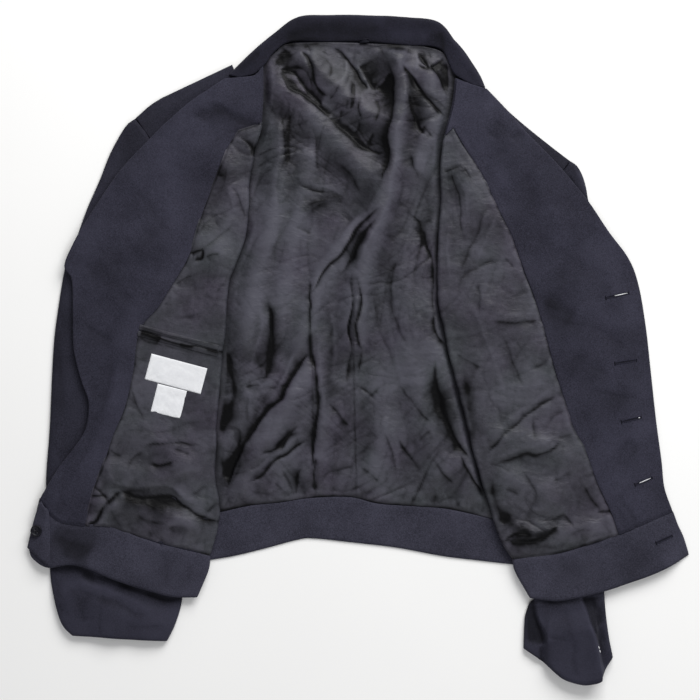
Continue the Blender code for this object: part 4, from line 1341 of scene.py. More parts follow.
LEFT_SLEEVE = SleeveForm(
    name="left",
    outer=path("231 205, 238 200, 244 189, 248 175, 250 163, 257 137, 261 99, 263 56, 264 2, 265 -74, "
               "266 -160, 266 -225, 268 -272, 272 -306, 276.5 -329"),
    inner=path("198 125, 181 77, 172 34, 170 2, 170 -74, 174 -139, 181 -182, 188 -225, 192 -262, 186 -272, "
               "182 -284, 181 -292, 180 -320"),
    armhole=path("231 205, 221 192, 211 174, 202 151, 198 125"),
    cuff_end=path("276.5 -329, 265 -347, 263 -354, 253 -357.5, 241 -358, 221 -351.5, 201 -334.5, 180 -320"),
    covered_by=LEFT_FRONT,
    height=7.0,
    cuff_heights=path("0 8, 0.12 9, 0.2 19, 0.35 17, 0.55 14, 0.72 13.5, 0.8 8, 1 7"),
)

# ---------------------------------------------------------------- creases on the measuring grid
# Each row: height, left and right width, perhaps its fade, then its points. Left and right are
# as seen along the line; going down, left is the picture's right.
# Where a table is read for shade, its troughs give painted shade and its ridges painted highlights
BACK_CREASES = rows_of(Crease, """
-4.2 3.4 3: 270 68, 280 73, 290 88, 303 95, 318 110, 335 125, 350 138, 365 149, 387 155
2.2 5 3: 276 62, 296 78, 314 98, 336 116, 356 132, 380 144
-2.2 2 1.6: 285 68, 300 70, 310 78, 312 88
-1.6 2.4 2: 345 120, 358 133, 372 145, 385 142
2.2 4.4 2.4 0.12: 375 50, 395 62, 405 80, 404 100, 398 130, 393 170, 388 200, 378 225, 365 250, 357 275
-2.6 2 3.6 0.2: 384 62, 393 80, 393 102, 390 132, 385 166, 380 190
-2.2 2.2 1.8: 410 85, 425 100, 440 118
-2 2.2 1.8: 412 110, 425 135, 432 140
-2.6 3 3: 424 126, 430 134, 437 142
1.6 4 2.4: 275 110, 280 130, 277 180, 273 230, 265 270
-1.5 3.4 4: 291 100, 290 124, 288 152, 286 182
1.8 3 4: 268 112, 274 98, 286 91, 298 95, 306 108
-1.4 2.6 2.6: 281 112, 285 134, 284 160, 280 190, 279 220
2.4 3.4 1.8: 295 173, 310 182, 330 187, 345 198
2 1.8 3: 345 198, 320 205, 303 215, 292 225
-2 2 1.8: 292 226, 300 230, 310 234
-1.8 2.2 1.8: 297 180, 312 189, 332 194
-3 2.2 2 0.18: 385 203, 370 215, 355 235, 340 255, 325 270, 308 300
-2.8 2 1.8: 380 210, 362 238, 350 262, 340 280
1.8 1.4 2: 380 215, 370 240, 358 268
2 4.4 2.2: 372 206, 352 226, 334 248, 316 266
-1.8 2 2.4: 408 155, 415 170, 420 182
-2.6 1.8 2.2 0.15: 405 210, 418 222, 424 245, 432 270, 433 300, 438 330, 448 350, 455 370
1.4 3.6 2 0.2: 412 214, 428 240, 438 272, 440 302, 446 330
-2.4 2 1.6: 418 52, 425 62, 432 70
-2.4 1.8 1.6: 430 60, 440 75, 447 96
-2.6 2 2.4: 448 58, 448 78, 447 98
-1.8 1.8 1.8: 412 75, 420 90, 440 105, 447 112
-3.6 2.2 2.2 0.12: 277 69, 286 72, 296 76, 303 84, 312 96, 322 109
-2.6 1.8 2.2 0.14: 300 51, 306 60, 311 69, 315 80, 322 92, 330 98
2.2 1.8 2.6 0.1: 297 49, 302 60, 307 72, 316 84, 330 90, 342 84, 346 72, 343 56
-2.6 1.6 2.2 0.12: 334 47, 340 53, 347 60, 354 68, 358 76, 363 84, 371 91
-2.2 1.8 2.8: 322 60, 330 70, 332 82
-2.4 3 2 0.16: 358 62, 364 74, 371 84, 380 92
-2.4 1.8 1.8: 378 92, 386 84, 390 74
1.8 1.8 3: 356 58, 362 68, 366 80, 370 88
-1.9 1.4 2: 344 84, 338 94, 330 104
-1.8 1.3 1.8: 352 80, 356 92, 353 104, 346 114
-2 1.4 1.6: 362 96, 358 108, 362 122
-1.8 1.4 1.6: 374 98, 378 110, 376 126
-1.8 1.4 1.4: 334 128, 340 120, 342 110
-1.8 1.4 1.4: 350 139, 356 130, 358 120
-2 1.4 1.4: 366 150, 371 140, 378 132
-3.4 2 3.6 0.14: 402 66, 410 76, 417 86, 426 98, 436 110, 445 118
2 1.6 2.6: 415 50, 419 62, 416 76
-2.4 1.4 1.8: 418 64, 426 68, 436 66, 446 56
-2.6 2.4 2.4 0.16: 408 96, 412 112, 420 128, 428 138
2.2 1.6 2 0.16: 404 92, 410 110, 418 128, 424 136, 432 134
-1.6 1.8 1.8: 348 100, 345 112
-1.6 1.8 1.8: 355 85, 352 98, 350 113
1.5 2.6 1.8: 352 82, 344 96, 334 110
-2.8 1.7 2.6 0.08: 308 270, 311 300, 315 360, 316 400, 313 470
1.6 2.8 1.8 0.12: 314 272, 317 310, 320 355, 321 400, 319 450
-4 3 3.4 0.2: 317 456, 315 476, 314 494
2.6 4 2.2 0.2: 310 344, 296 354, 286 374, 276 392, 261 414, 248 432
-4.2 2.2 3 0.12: 314 353, 300 366, 287 386, 273 406, 258 424, 246 442, 237 462, 228 490
2.2 4 2.6 0.2: 258 280, 260 310, 258 340, 250 370, 243 390
-2.4 4 3 0.2: 268 300, 271 330, 269 360, 262 384
-2.2 1.8 2.2: 245 390, 252 386, 262 385
-2 1.8 2: 250 395, 247 410, 247 426
-2.4 2 2.2: 300 425, 275 445, 258 455
-2.8 2 2.2 0.2: 310 440, 290 448, 262 472, 245 483
1.9 3 1.8 0.2: 306 434, 286 442, 262 462, 246 474
-1.8 1.8 1.8: 270 445, 284 437, 300 432
-2.8 1.8 2: 305 465, 298 480, 296 497
-2.2 1.8 1.8: 284 470, 291 484, 295 497
-1.8 1.8 1.8: 272 482, 284 490, 294 498
-2.4 2.2 2 0.15: 354 270, 352 300, 348 360, 345 385
-2.8 1.8 2.4 0.15: 359 275, 361 300, 358 330, 358 360, 356 378
1.4 1.8 1.8 0.2: 356 280, 356 310, 354 340, 352 372
-1.8 1.8 2: 326 404, 335 412, 352 427
-3.4 2.4 2.8 0.18: 435 356, 438 388, 444 419, 458 444, 477 466
-1.8 1.8 2: 400 437, 408 450, 418 465, 425 470
-1.6 1.8 1.8: 418 440, 425 434, 433 430
-2 1.8 2: 430 455, 442 468, 455 485
-2 1.8 2: 355 462, 375 478, 385 487
-2 1.8 2: 356 462, 342 468, 328 475, 322 485
-3 2 2.6 0.2: 462 455, 470 470, 487 500
1.6 3 2 0.2: 470 450, 478 468, 492 492
-2 2 2.2: 395 385, 410 400, 435 425
-1.6 1.8 1.8: 352 384, 364 390, 380 396
-1.4 1.8 1.8: 360 400, 372 394, 382 384
1.2 3.2 2.2: 385 300, 392 350, 402 400
-1.5 2.4 2: 374 290, 380 330, 392 372
1.3 3 2.4: 330 300, 334 350, 336 396
-1.5 2.2 2.2: 322 180, 318 152, 308 128
-1.6 2.6 2.2: 360 196, 352 176, 338 160
1.3 3 2: 420 190, 414 215, 404 250, 398 290
-1.7 2.2 2.2: 398 250, 392 285, 396 320, 408 352
-1.5 2 2: 384 430, 392 452, 398 480
1.4 2.8 2: 440 200, 432 226, 436 250
-4.2 2 2 0.12: 225 349, 231 372, 234.5 390, 231 405, 222 420, 219 435
-2.6 2 2: 222 425, 238 430, 240 445, 232 465, 226 490
""")
RIGHT_LINING_CREASES = rows_of(Crease, """
-1.7 1.8 1.6: 235 225, 225 235, 212 245, 203 252
-1.5 1.8 1.6: 222 212, 210 222, 200 235
-1.6 1.7 2: 228 185, 238 195, 245 215, 247 225
1.3 2.6 1.8: 224 178, 232 200, 238 222
-1 1.6 1.8: 178 320, 192 318, 206 315
-0.8 1.6 1.8: 203 320, 214 325, 225 330
-1.6 1.8 1.8: 132 385, 138 402, 146 424
-1.1 1.6 2 0.2: 122 430, 150 432, 175 428, 208 419
0.8 2.8 1.8 0.2: 126 424, 152 426, 180 421, 206 413
-1.6 1.5 1.8 0.2: 142 446, 180 445, 208 447
-1.4 1.5 1.5: 112 445, 118 451, 126 456
1.4 1.8 1.8: 108 460, 112 470, 118 482
-2.4 1.5 1.8: 146 463, 160 464, 176 461
-1.5 1.5 1.8: 175 450, 183 454, 192 456
2.6 4.4 1.6 0.2: 112 478, 124 485, 140 486, 168 486, 186 497, 204 508
-3 1.6 4 0.2: 118 487, 132 494, 150 498, 176 499, 194 512, 222 522
-2 1.5 1.5: 95 484, 106 496, 114 508
1.8 2 1.5: 117 498, 106 511, 96 525
-1.8 1.6 1.6: 110 505, 118 516, 124 528
-1.8 1.5 1.5: 203 515, 212 507, 226 499
-1.8 2 2.6: 165 527, 176 524, 190 529
-2.6 1.6 2.4 0.14: 87 523, 97 518, 104 508, 112 499, 122 490
2.2 1.6 2 0.16: 92 526, 103 519, 111 508, 120 498
-2.2 1.6 1.8: 92 494, 102 495, 112 498
-1.4 1.5 1.8: 190 495, 198 491, 206 485
-2.6 1.8 1.5: 237 135, 246 140, 252 150, 255 163
1.7 1.6 1.6: 238 137, 248 139, 255 134, 260 129
-2.6 1.4 1.5 0.15: 188 257, 204 251, 203 260, 194 263
-1.5 1.4 1.6: 206 258, 214 255, 224 253
-1.5 1.5 1.8: 174 287, 184 282, 197 277
1.4 3.2 2.2: 226 262, 212 282, 200 304
-1.2 2 2: 236 152, 226 172, 220 196
1.2 2.6 2.2: 160 402, 150 418, 142 440
-1.2 1.7 1.7: 214 296, 222 286, 228 272
-1.4 1.6 1.6: 128 470, 134 458, 146 450
1.3 2.2 1.6: 170 475, 190 470, 210 474
-1.4 1.6 1.6: 136 512, 150 519, 168 520
""")
LEFT_LINING_CREASES = rows_of(Crease, """
-1.7 1.8 1.6: 443 175, 451 170, 460 165
-1.6 1.6 1.6: 462 168, 467 175, 470 183
-1.9 1.8 2.2 0.18: 450 170, 458 195, 460 215, 463 236
1.4 2.6 1.8 0.2: 455 172, 465 196, 468 218
-2.2 2.4 2.4 0.16: 492 203, 484 215, 475 235, 468 255, 460 276
1.7 3 2 0.2: 500 210, 492 226, 484 244, 476 262
-2 1.8 1.8 0.2: 455 296, 462 280, 475 268, 501 259
-1.6 1.6 1.6: 502 255, 508 262, 513 271
-1.6 1.6 2: 478 275, 482 298, 480 316
-2 1.6 2.4 0.2: 491 321, 515 323, 540 320
1.4 2.4 1.6 0.2: 494 314, 515 316, 536 314
-1.8 1.6 2.2 0.2: 454 356, 468 362, 484 367
-1.3 7 5 0.2: 462 368, 468 400, 474 450
-2.3 1.8 2.4 0.16: 556 394, 545 403, 530 412, 515 425, 500 440, 487 456
1.8 3 2 0.2: 552 386, 534 401, 517 413, 500 429, 490 444
-1.8 1.6 1.6: 533 411, 535 425, 534 441
-1.4 1.6 1.6: 556 438, 566 437, 576 434
-2.2 1.6 2 0.16: 492 465, 505 461, 525 454, 540 453, 562 439
1.6 2.6 1.6 0.2: 494 459, 512 452, 534 446, 556 433
-1.6 1.6 1.6: 487 462, 498 468, 508 476
-1.7 1.6 1.6: 505 488, 512 491, 519 496
-2.2 5 4 0.25: 489 474, 497 500, 503 530
-3 1.4 1.8 0.16: 501 541, 508 534, 520 532, 531 536
-2.6 1.4 1.6 0.16: 503 542, 520 544, 535 541, 545 535, 557 524
1.7 1.8 1.4 0.2: 505 537, 521 538, 537 536
-2 1.5 1.8 0.16: 535 517, 550 519, 563 515, 573 525, 577 531
-1.8 1.6 1.8: 565 535, 580 531, 596 530
-2 1.5 1.6: 581 482, 590 495, 600 513
-2 1.5 1.8: 594 515, 602 511, 613 510
-1.4 2.2 2.4: 549 481, 560 476, 571 470
1.5 3.6 2.4 0.3: 472 300, 484 340, 498 380, 512 408
-1.4 2.4 2.6 0.3: 500 330, 510 360, 524 392
1.3 3 2.2 0.3: 452 215, 448 250, 450 290
-1.5 1.8 1.8: 520 470, 530 486, 536 502
1.4 2.4 1.8: 512 500, 528 508, 548 509
-1.5 1.6 1.8: 548 352, 540 362, 528 368
-1.4 1.6 1.8: 566 410, 556 416, 548 426
-1.4 2 2: 530 290, 516 298, 500 300
""")
RIGHT_FACING_CREASES = rows_of(Crease, """
-2.6 2.6 6 0.16: 192 120, 205 114, 220 112, 235 117, 248 124, 262 129
1.8 5 2 0.2: 195 109, 208 104, 222 103, 238 108, 252 116
-1.6 2.2 3: 171 121, 155 130, 144 141
-2.6 1.4 1.8 0.16: 236 132, 250 130, 263 127
-1.1 5 7: 130 190, 150 205, 170 236
-1 4 6: 140 225, 160 241
-1.5 3 4: 85 268, 96 266, 107 261
-1.7 2.4 3.6: 83 325, 95 332, 117 341
-1.1 2.6 2.6: 129 291, 125 297, 121 304
-1.2 2.2 2.6: 94 304, 100 299, 106 292
1.2 4 2.6 0.08: 152 296, 136 314, 124 331, 121 350, 118 378, 111 402, 104 432, 98 448, 88 466, 75 481,
    66 498, 57 510
-1.2 2 3 0.16: 112 350, 110 380, 102 406, 95 432, 86 456, 72 474
1.4 1.6 1.6 0.16: 62 493, 57 498, 50 505, 47 513
-1.5 1.8 2: 70 499, 62 507, 57 515
-0.9 4 5: 110 240, 118 270, 112 300
0.9 5 4: 176 152, 158 180, 146 214
-0.8 3 4: 232 92, 222 98, 205 96
0.8 3 3: 258 80, 248 96, 244 116
-0.8 3 3: 92 380, 98 396, 104 400
""")
LEFT_FACING_CREASES = rows_of(Crease, """
-1.5 1.8 2.4: 484 141, 492 130, 499 121
-1.4 2 2.4: 507 142, 513 136, 521 132
-1.1 2 2.2: 494 156, 500 154, 508 152
-1.4 2.2 3: 549 206, 562 200, 573 195
-2.6 5 6 0.2: 540 301, 556 306, 578 317
-1.5 2.6 4 0.2: 538 312, 560 318, 590 325, 610 340, 631 351
1.2 5 3 0.25: 548 297, 575 304, 602 316, 626 336
-1.4 2.6 4 0.2: 563 349, 590 365, 612 376
-1.1 2.2 2.8: 588 389, 612 396, 642 400
-1.3 3 3: 620 438, 630 444, 641 451
1.5 2.2 1.8 0.14: 608 488, 618 505, 625 522, 633 540, 642 553
-1.4 2 2.4 0.16: 616 492, 626 508, 634 526, 642 543
1 5 4: 470 128, 488 160, 508 196, 526 240
-0.8 4 5: 540 230, 556 262, 568 290
-0.9 3 4: 520 170, 530 190, 536 214
0.9 4 4: 600 300, 606 350, 612 400
-0.8 3 4: 578 400, 590 430, 598 460
""")
RIGHT_BAND_CREASES = rows_of(Crease, """
-0.9 14 12 0.2: 60 530, 74 542, 92 556
1 4 3 0.2: 106 530, 112 540, 100 558, 84 566
0.8 5 4: 128 530, 130 555, 128 580
-0.7 3 3: 160 545, 166 566, 168 592
-0.8 2 2: 188 552, 190 572, 188 594
""")
LEFT_BAND_CREASES = rows_of(Crease, """
-1 3 3: 558 556, 563 564, 566 576
0.8 5 4: 600 545, 604 560, 612 582
1 2 1.6: 640 530, 646 542, 652 556
-0.7 3 3: 528 562, 532 580, 534 598
""")
BACK_BAND_CREASES = rows_of(Crease, """
-0.8 2.6 2.6: 445 512, 434 520, 420 531
-0.9 1 1 0.05: 304 503, 306 518, 308 536
-0.8 1 1 0.05: 354 500, 355 520, 356 540
0.5 6 6: 258 505, 262 525, 262 546
0.5 8 6: 400 506, 404 526, 404 546
""")
COLLAR_CREASES = rows_of(Crease, """
-1 3 3: 299 17, 298 28, 291 42
-1 3 3: 355 30, 370 23, 386 17
-1.3 2.4 2.4: 423 25, 425 34, 429 42
-1 2.4 2.4: 452 40, 449 50, 447 60
0.8 4 4: 268 40, 254 55, 240 70
0.7 4 3: 320 20, 324 30, 326 40
-0.8 2 2.6: 462 60, 468 72, 474 84
-0.6 3 3: 395 22, 398 32, 399 44
""")
SLEEVE_CREASES = rows_of(Crease, """
-3.4 2.4 3.2 0.03: 50 568, 66 567, 78 566, 92 570, 108 577, 126 584, 148 592, 172 598, 186 598
-1.4 8 8 0.16: 72 586, 82 602, 86 622
-2.4 4.5 4 0.1: 532 602, 531 622, 531 642
-3.2 8 7 0.14: 589 594, 594 608, 598 626
2 6 6 0.2: 576 168, 583 180, 589 198
-1.2 0.9 0.9: 591 617, 598 618, 604 617
1.8 3 3 0.16: 72 574, 92 582, 110 590, 134 600, 157 609
-1.4 4 4 0.2: 74 584, 95 594, 125 606, 150 615
-1.2 3 4: 60 585, 66 602, 68 622
-1.1 0.9 0.9 0.05: 104 588, 103 608, 101 634
-1.4 4 4: 54 572, 60 592, 64 618
-2.6 5 5 0.2: 54 571, 76 572, 100 577
-1 3 3: 120 622, 145 626, 168 622
2.2 1.6 2.2 0.05: 580 594, 585 610, 592 634, 602 674
-2.4 2 1.4 0.08: 583 594, 588 610, 595 634, 605 670
-1.2 5 5 0.2: 592 600, 598 622, 604 646
-5 1.8 3 0.05: 534 598, 536 612, 539 626, 541 644
-2.6 1.8 1.8 0.1: 539 644, 542 656, 549 666, 560 678
1.8 2.6 1.2 0.1: 537 600, 541 614, 545 630, 545 645
-1.6 6 5 0.2: 527 604, 527 625, 530 642
-0.9 3 3 0.16: 566 604, 568 630, 574 662, 580 680
-0.8 1 1 0.1: 524 636, 532 638, 538 641
-0.8 1 1 0.1: 546 637, 556 638, 562 637
-1.8 3 3 0.12: 530 601, 555 603, 582 600, 602 594
-1.6 2 3: 570 172, 575 182, 578 194
-1.2 3 3: 112 152, 104 170, 98 190
-1 3 3: 60 320, 57 350, 58 380
1 3 3: 56 440, 60 470, 58 500
-1 3 4 0.1: 66 268, 63 310, 62 360, 64 420
""")
# Seam lines of the back lining, shallow troughs with painted shade, in the same terms: below 0 is darker
BACK_SEAMS = rows_of(Crease, """
-0.55 0.9 0.9 0.05: 354 300, 354 360, 355 420, 356 460, 357 500
-0.45 0.9 0.9 0.05: 312 330, 313 400, 313 470
""")
# Painted shade and painted sheen, without relief, in the same terms; so are the tables down to the collar's
BACK_PAINTED_SHADING = rows_of(Crease, """
-1.1 34 34: 296 66, 340 84, 384 96, 430 80
-0.8 13 13: 300 58, 322 72, 346 96
-0.8 10 10: 414 56, 432 62, 442 78
-2.6 7 9: 272 72, 290 82, 306 92
-2.6 4 4: 272 66, 279 56, 291 48
-1.7 4 4: 446 54, 448 74, 447 96
-0.7 7 7: 364 58, 370 70, 376 84
-0.9 7 7: 284 102, 284 140, 283 184
-2.2 10 6: 406 86, 418 110, 430 136
-1.5 5 5: 389 110, 387 150, 390 192
-2.6 6 5 0.2: 294 218, 310 209, 328 202, 346 196
-2.2 6 6: 370 226, 358 246, 344 264
-1.3 7 8: 410 156, 424 190, 430 230, 434 264
-2.4 8 8 0.2: 268 292, 270 330, 266 360, 260 386
-1.8 5 5 0.2: 226 362, 229 380, 227 402
-2.6 6 6 0.2: 301 468, 302 482, 303 498
-2 2.6 3.4 0.2: 303 360, 290 382, 270 409, 254 432, 242 456
-2.4 4 4 0.2: 278 74, 292 90, 318 112, 346 136, 374 151
-1.6 5 5 0.2: 438 372, 444 412, 460 446, 474 464
-1 12 10: 328 286, 331 350, 328 430
-1.5 8 7: 438 376, 452 420, 464 446
-1.8 5 5: 254 354, 258 370, 254 386
-2.4 6 5: 250 438, 240 456, 230 474
-2.4 6 6: 224 396, 224 416, 222 440
-2.4 6 6: 222 448, 224 472, 224 496
-2.8 6 7 0.2: 318 458, 319 474, 316 492
2.4 7 6: 402 64, 400 110, 392 160, 386 200
2 12 10: 306 120, 312 150, 326 168
2 8 8: 258 272, 259 310, 257 350
1.6 14 12: 384 300, 390 350, 402 410
""")
POCKET_PAINTED_SHADOW = rows_of(Crease, """
-4.4 3 3.6 0.1: 141 330, 150 333, 163 339
-3 1.2 1.2 0.04: 158 337, 172 342, 186 345, 200 346, 216 352, 223 349
-2.4 1.5 1.5 0.2: 180 343, 188 345, 196 346
-2.4 1.5 1.5 0.2: 206 348, 212 350, 219 351
-1.9 0.9 0.9 0.05: 138 326, 148 328, 172 336, 198 341, 225 345
-1.9 0.9 0.9 0.05: 139 336, 150 343, 180 349, 204 355, 222 360
-1.6 2.4 2.4: 226 346, 226 353, 224 360
-1.2 5 5: 134 326, 136 334, 140 344
1.6 1.8 1.8 0.2: 168 331, 190 337, 214 343
""")
RIGHT_PAINTED_SHADING = rows_of(Crease, """
-0.7 24 24: 238 140, 214 200, 194 262
-4 6 7 0.2: 120 490, 142 498, 164 503, 186 508
-1.8 3.6 3.6 0.2: 168 528, 182 529, 198 530
-1.4 5 5: 240 138, 250 150, 256 166
-1.2 7 7: 232 212, 216 226, 204 240
1.8 9 8: 238 200, 226 232, 216 262
1.4 9 7: 118 516, 140 524, 158 532
""")
LEFT_PAINTED_SHADING = rows_of(Crease, """
-0.5 34 34: 486 390, 520 450, 560 512
-1.3 8 7: 464 366, 470 400, 476 446
-0.9 11 11: 449 150, 450 200, 452 262
-1.6 4 4 0.3: 446 168, 456 165, 466 174
-1 9 9: 452 300, 460 330, 464 360
-2.3 11 6: 489 476, 498 502, 508 528
-4.6 5 4.6 0.12: 503 540, 518 541, 533 539, 546 532, 557 524
-2.2 13 12 0.2: 498 510, 514 524, 534 531
-1.6 7 6: 506 538, 528 538, 552 530
1.8 10 10: 470 200, 478 250, 490 310
1.4 10 10: 520 340, 530 370, 546 392
""")
RIGHT_BAND_PAINTED_SHADE = rows_of(Crease, """
-2.6 22 18 0.15: 50 530, 64 538, 80 548, 96 554
-1.9 11 9 0.3: 60 552, 76 553, 92 547
""")
COLLAR_PAINTED_SHADING = rows_of(Crease, """
-1.5 12 9 0.12: 283 44, 300 34, 330 32, 362 32, 384 24
2.4 8 9 0.16: 384 36, 410 34, 434 38
2 5 5 0.1: 296 18, 330 17, 365 19, 390 20
-2.2 1.8 3 0.14: 441 30, 443 42, 445 58, 449 72
1.8 3 3 0.14: 452 34, 462 52, 472 72
-1.5 3 3 0.16: 262 50, 250 62, 240 72
1.8 4 4 0.16: 276 34, 262 44, 244 58
-1.8 1.2 1.2 0.05: 283 43, 320 41, 360 41, 400 46, 440 51
""")
# Along each seam: how many, how long, how high, and the seed
BACK_GATHERS = (
    gathers("452 74, 440 52, 364 45, 292 45, 270 62", 34, 11.0, 0.8, 31)
    + gathers("226 508, 252 503, 280 500, 310 496, 350 495, 378 501, 415 504, 448 507, 490 516",
              44, 13.0, 0.8, 32)
)
RIGHT_GATHERS = (
    gathers("238 133, 231 145, 222 166, 205 210, 191 254, 172 288, 161 308, 140 329, 135 373, "
              "126 408, 107 455, 96 481, 91 502, 87 524", 46, 9.0, 0.7, 41)
    + gathers("88 525, 120 525, 140 535, 172 545, 210 552", 16, 12.0, 0.7, 42)
)
LEFT_GATHERS = (
    gathers("617 532, 609 511, 595 481, 572 427, 555 373, 544 331, 523 271, 495 205, 467 152, "
              "451 128", 46, 9.0, 0.7, 51)
    + gathers("513 556, 553 551, 583 543, 616 532", 16, 12.0, 0.7, 52)
)
# Fine creasing: height, cell, stretch, heading and seed
LINING_CRUMPLE = (Crumple(0.95, 34.0, 2.0, 74.0, 3),
                  Crumple(0.65, 19.0, 2.0, 25.0, 8),
                  Crumple(0.26, 11.0, 2.6, -38.0, 12))
FRONT_CRUMPLE = (Crumple(0.8, 32.0, 2.0, 78.0, 5),
                 Crumple(0.55, 18.0, 2.0, 10.0, 14),
                 Crumple(0.22, 11.0, 2.6, -30.0, 18))
SHELL_CRUMPLE = (Crumple(0.7, 52.0, 1.8, 62.0, 21),
                 Crumple(0.16, 15.0, 1.8, 20.0, 23))


# ---------------------------------------------------------------- sub-assemblies
def rim_shape(rim: Array, drop: float, swell: float) -> Array:
    """How far cloth that is sewn at its rim falls there and swells beside it."""
    return swell * bell((rim - 4.0) / 2.0) - drop * bell(rim / 1.6)


@dataclass
class FrontPanels:
    """One opened front: shell, facing, lining and waistband."""

    shop: Workshop
    form: FrontForm
    facing_creases: Sequence[Crease]
    lining_creases: Sequence[Crease]
    band_creases: Sequence[Crease]
    painted_shading: Sequence[Crease]
    pocket_painted_shade: Sequence[Crease] = ()
    band_painted_shade: Sequence[Crease] = ()
    calm: Points = ()
    calm_reach: float = 16.0
    neck_rows: int = 34
    body_rows: int = 270
    facing_columns: int = 44
    lining_columns: int = 86

    def named(self, piece: str) -> str:
        """One of the front's nodes."""
        return f"{self.form.name}_front_{piece}"

    def plan(self, neck: Array, body: Array, outer: Array, inner: Array) -> tuple[Array, Array, Array]:
        """Plan grids of facing and lining columns, and the ends of the hidden pleat.

        Args:
            neck: shares of the rows above the lining.
            body: shares of the rows beside it.
            outer: shares of the facing's columns.
            inner: shares of the lining's columns.

        Returns:
            The facing's columns, the lining's columns, and the pleat's points.
        """
        form = self.form
        shift = (form.side * FOLD_REACH, 0)
        free = [line_at(form.neck_free, neck), line_at(form.body_free, body)]
        guide = [line_at(form.neck_guide, neck), line_at(form.body_guide, body)]
        fold = [line_at(form.neck_fold, neck) + shift, line_at(form.body_fold, body) + shift]
        sway = 1.1 * (wandered(fold[1], 1.0)[0][:, 0] - fold[1][:, 0]) / 3.4
        fold[1][:, 0] += sway * soft_step(body / 0.05) * soft_step((1 - body) / 0.05)
        gorge = form.gorge_inner[:-1] + [tuple(fold[0][0])]
        seam = form.seam_inner[:-1] + [tuple(fold[1][-1])]
        middle_outer = straight(free[1][0], guide[1][0], outer)
        middle_inner = straight(guide[1][0], fold[1][0], inner)
        facing = [patch(line_at(form.gorge_outer, outer), middle_outer, free[0], guide[0], outer, neck),
                  patch(middle_outer, line_at(form.seam_outer, outer), free[1], guide[1], outer, body)]
        lining = [patch(line_at(gorge, inner), middle_inner, guide[0], fold[0], inner, neck),
                  patch(middle_inner, line_at(seam, inner), guide[1], fold[1], inner, body)]
        pleat = [line_at(form.neck_pleat, neck), line_at(form.body_pleat, body)]
        return tuple(np.vstack([upper, lower[1:]]) for upper, lower in (facing, lining, pleat))

    def calmness(self, plan: Array) -> Array:
        """1 away from the sewn-on pocket and labels, less where they hold the lining flat."""
        if not self.calm:
            return np.ones(plan.shape[:-1])
        return 0.25 + 0.75 * soft_step((distance_to(plan_of(self.calm), plan) - self.calm_reach) / 14)

    def lining_z(self, plan: Array) -> Array:
        """Upper face of the creased lining.

        Args:
            plan: points of the plan.

        Returns:
            A height for each point.
        """
        near = distance_to(self.form.seam(), plan)
        tuck = 0.5 * bell(near / 1.6) - 0.3 * bell((near - 5.0) / 3.0)
        folds = 0.6 * relief_of(self.lining_creases, plan, 1.3) + crumpled(FRONT_CRUMPLE, plan)
        made = self.form.lining_z(plan) + folds * self.calmness(plan) - tuck
        return np.maximum(made, self.form.shell_z(plan) + 0.2)

    def lining_shade(self, plan: Array) -> Array:
        """Painted shade of the lining in its troughs and along its seams, and painted highlights on its
        ridges.

        Args:
            plan: points of the plan.

        Returns:
            A shade for each point.
        """
        sewn = distance_to(line_at(self.form.seam_inner, even(40)), plan)
        # Painted shade along the facing's edge and along the waist seam, where the lining tucks under
        seams = 0.36 * patchy(plan, 13.0) * bell(distance_to(self.form.seam(), plan) / 1.3)
        seams += 0.75 * patchy(plan, 17.0, 0.4) * bell(sewn / 1.7)
        creases = 0.8 * painted_shade_of(self.lining_creases, plan, 1.1)
        creases += 0.7 * painted_hollow_shade(self.lining_z(plan)) + 0.8 * painted_facet_shading(plan) + 0.06
        # Broad painted shade and sheen, and the pocket's painted shadow
        painted_shading = painted_shade_of(self.painted_shading, plan, 1.2, 1.2) + painted_shade_of(self.pocket_painted_shade, plan, 1.0, 0.25)
        return np.clip(painted_shading + creases * self.calmness(plan) + seams, LIGHTEST, DARKEST)

    def facing_z(self, plan: Array) -> Array:
        """Upper face of the creased facing, without its turned edges.

        Args:
            plan: points of the plan.

        Returns:
            A height for each point.
        """
        creases = 0.9 * relief_of(self.facing_creases, plan, 1.9) + crumpled(SHELL_CRUMPLE, plan)
        rim = 0.35 * bell((distance_to(self.form.seam(), plan) - 3.2) / 2.2)
        return np.maximum(self.form.facing_z(plan) + creases + rim, self.form.shell_z(plan) + 0.6)

    def band_z(self, plan: Array) -> Array:
        """Upper face of the waistband."""
        creases = relief_of(self.band_creases, plan) + 0.5 * crumpled(SHELL_CRUMPLE, plan)
        return self.form.shell_z(plan) + BAND / 2 + creases

    def band_shade(self, plan: Array) -> Array:
        """Painted shade of the waistband in its creases and dents, with the nap's random unevenness."""
        painted_shading = painted_shade_of(self.band_painted_shade, plan, 1.0, 0.6)
        return 0.5 * painted_shade_of(self.band_creases, plan, 1.8) + 0.6 * painted_shading + unevenness(plan)

    def build(self) -> None:
        """Builds all of the front's pieces."""
        self.build_shell()
        self.build_facing()
        self.build_lining()
        self.build_band()

    def build_shell(self) -> None:
        """The shell, outer side down, with its rolled side and the layer that returns under it."""
        facing, lining, pleat = self.plan(even(10), even(90), even(12), even(16))
        plan = np.hstack([facing, lining[:, 1:]])
        top = raised(plan, self.form.shell_z(plan) - 0.2)
        grid = rolled(top, PLEAT_SHELL_Z + neck_lift(plan[:, -1]), 6, pleat, 4)
        self.shop.walled(self.named("shell_cloth"), grid, 0.9, Cloth.OUTSIDE, self.named("shell"),
                         ["back_lining_cloth", self.form.name + "_sleeve_cloth"])

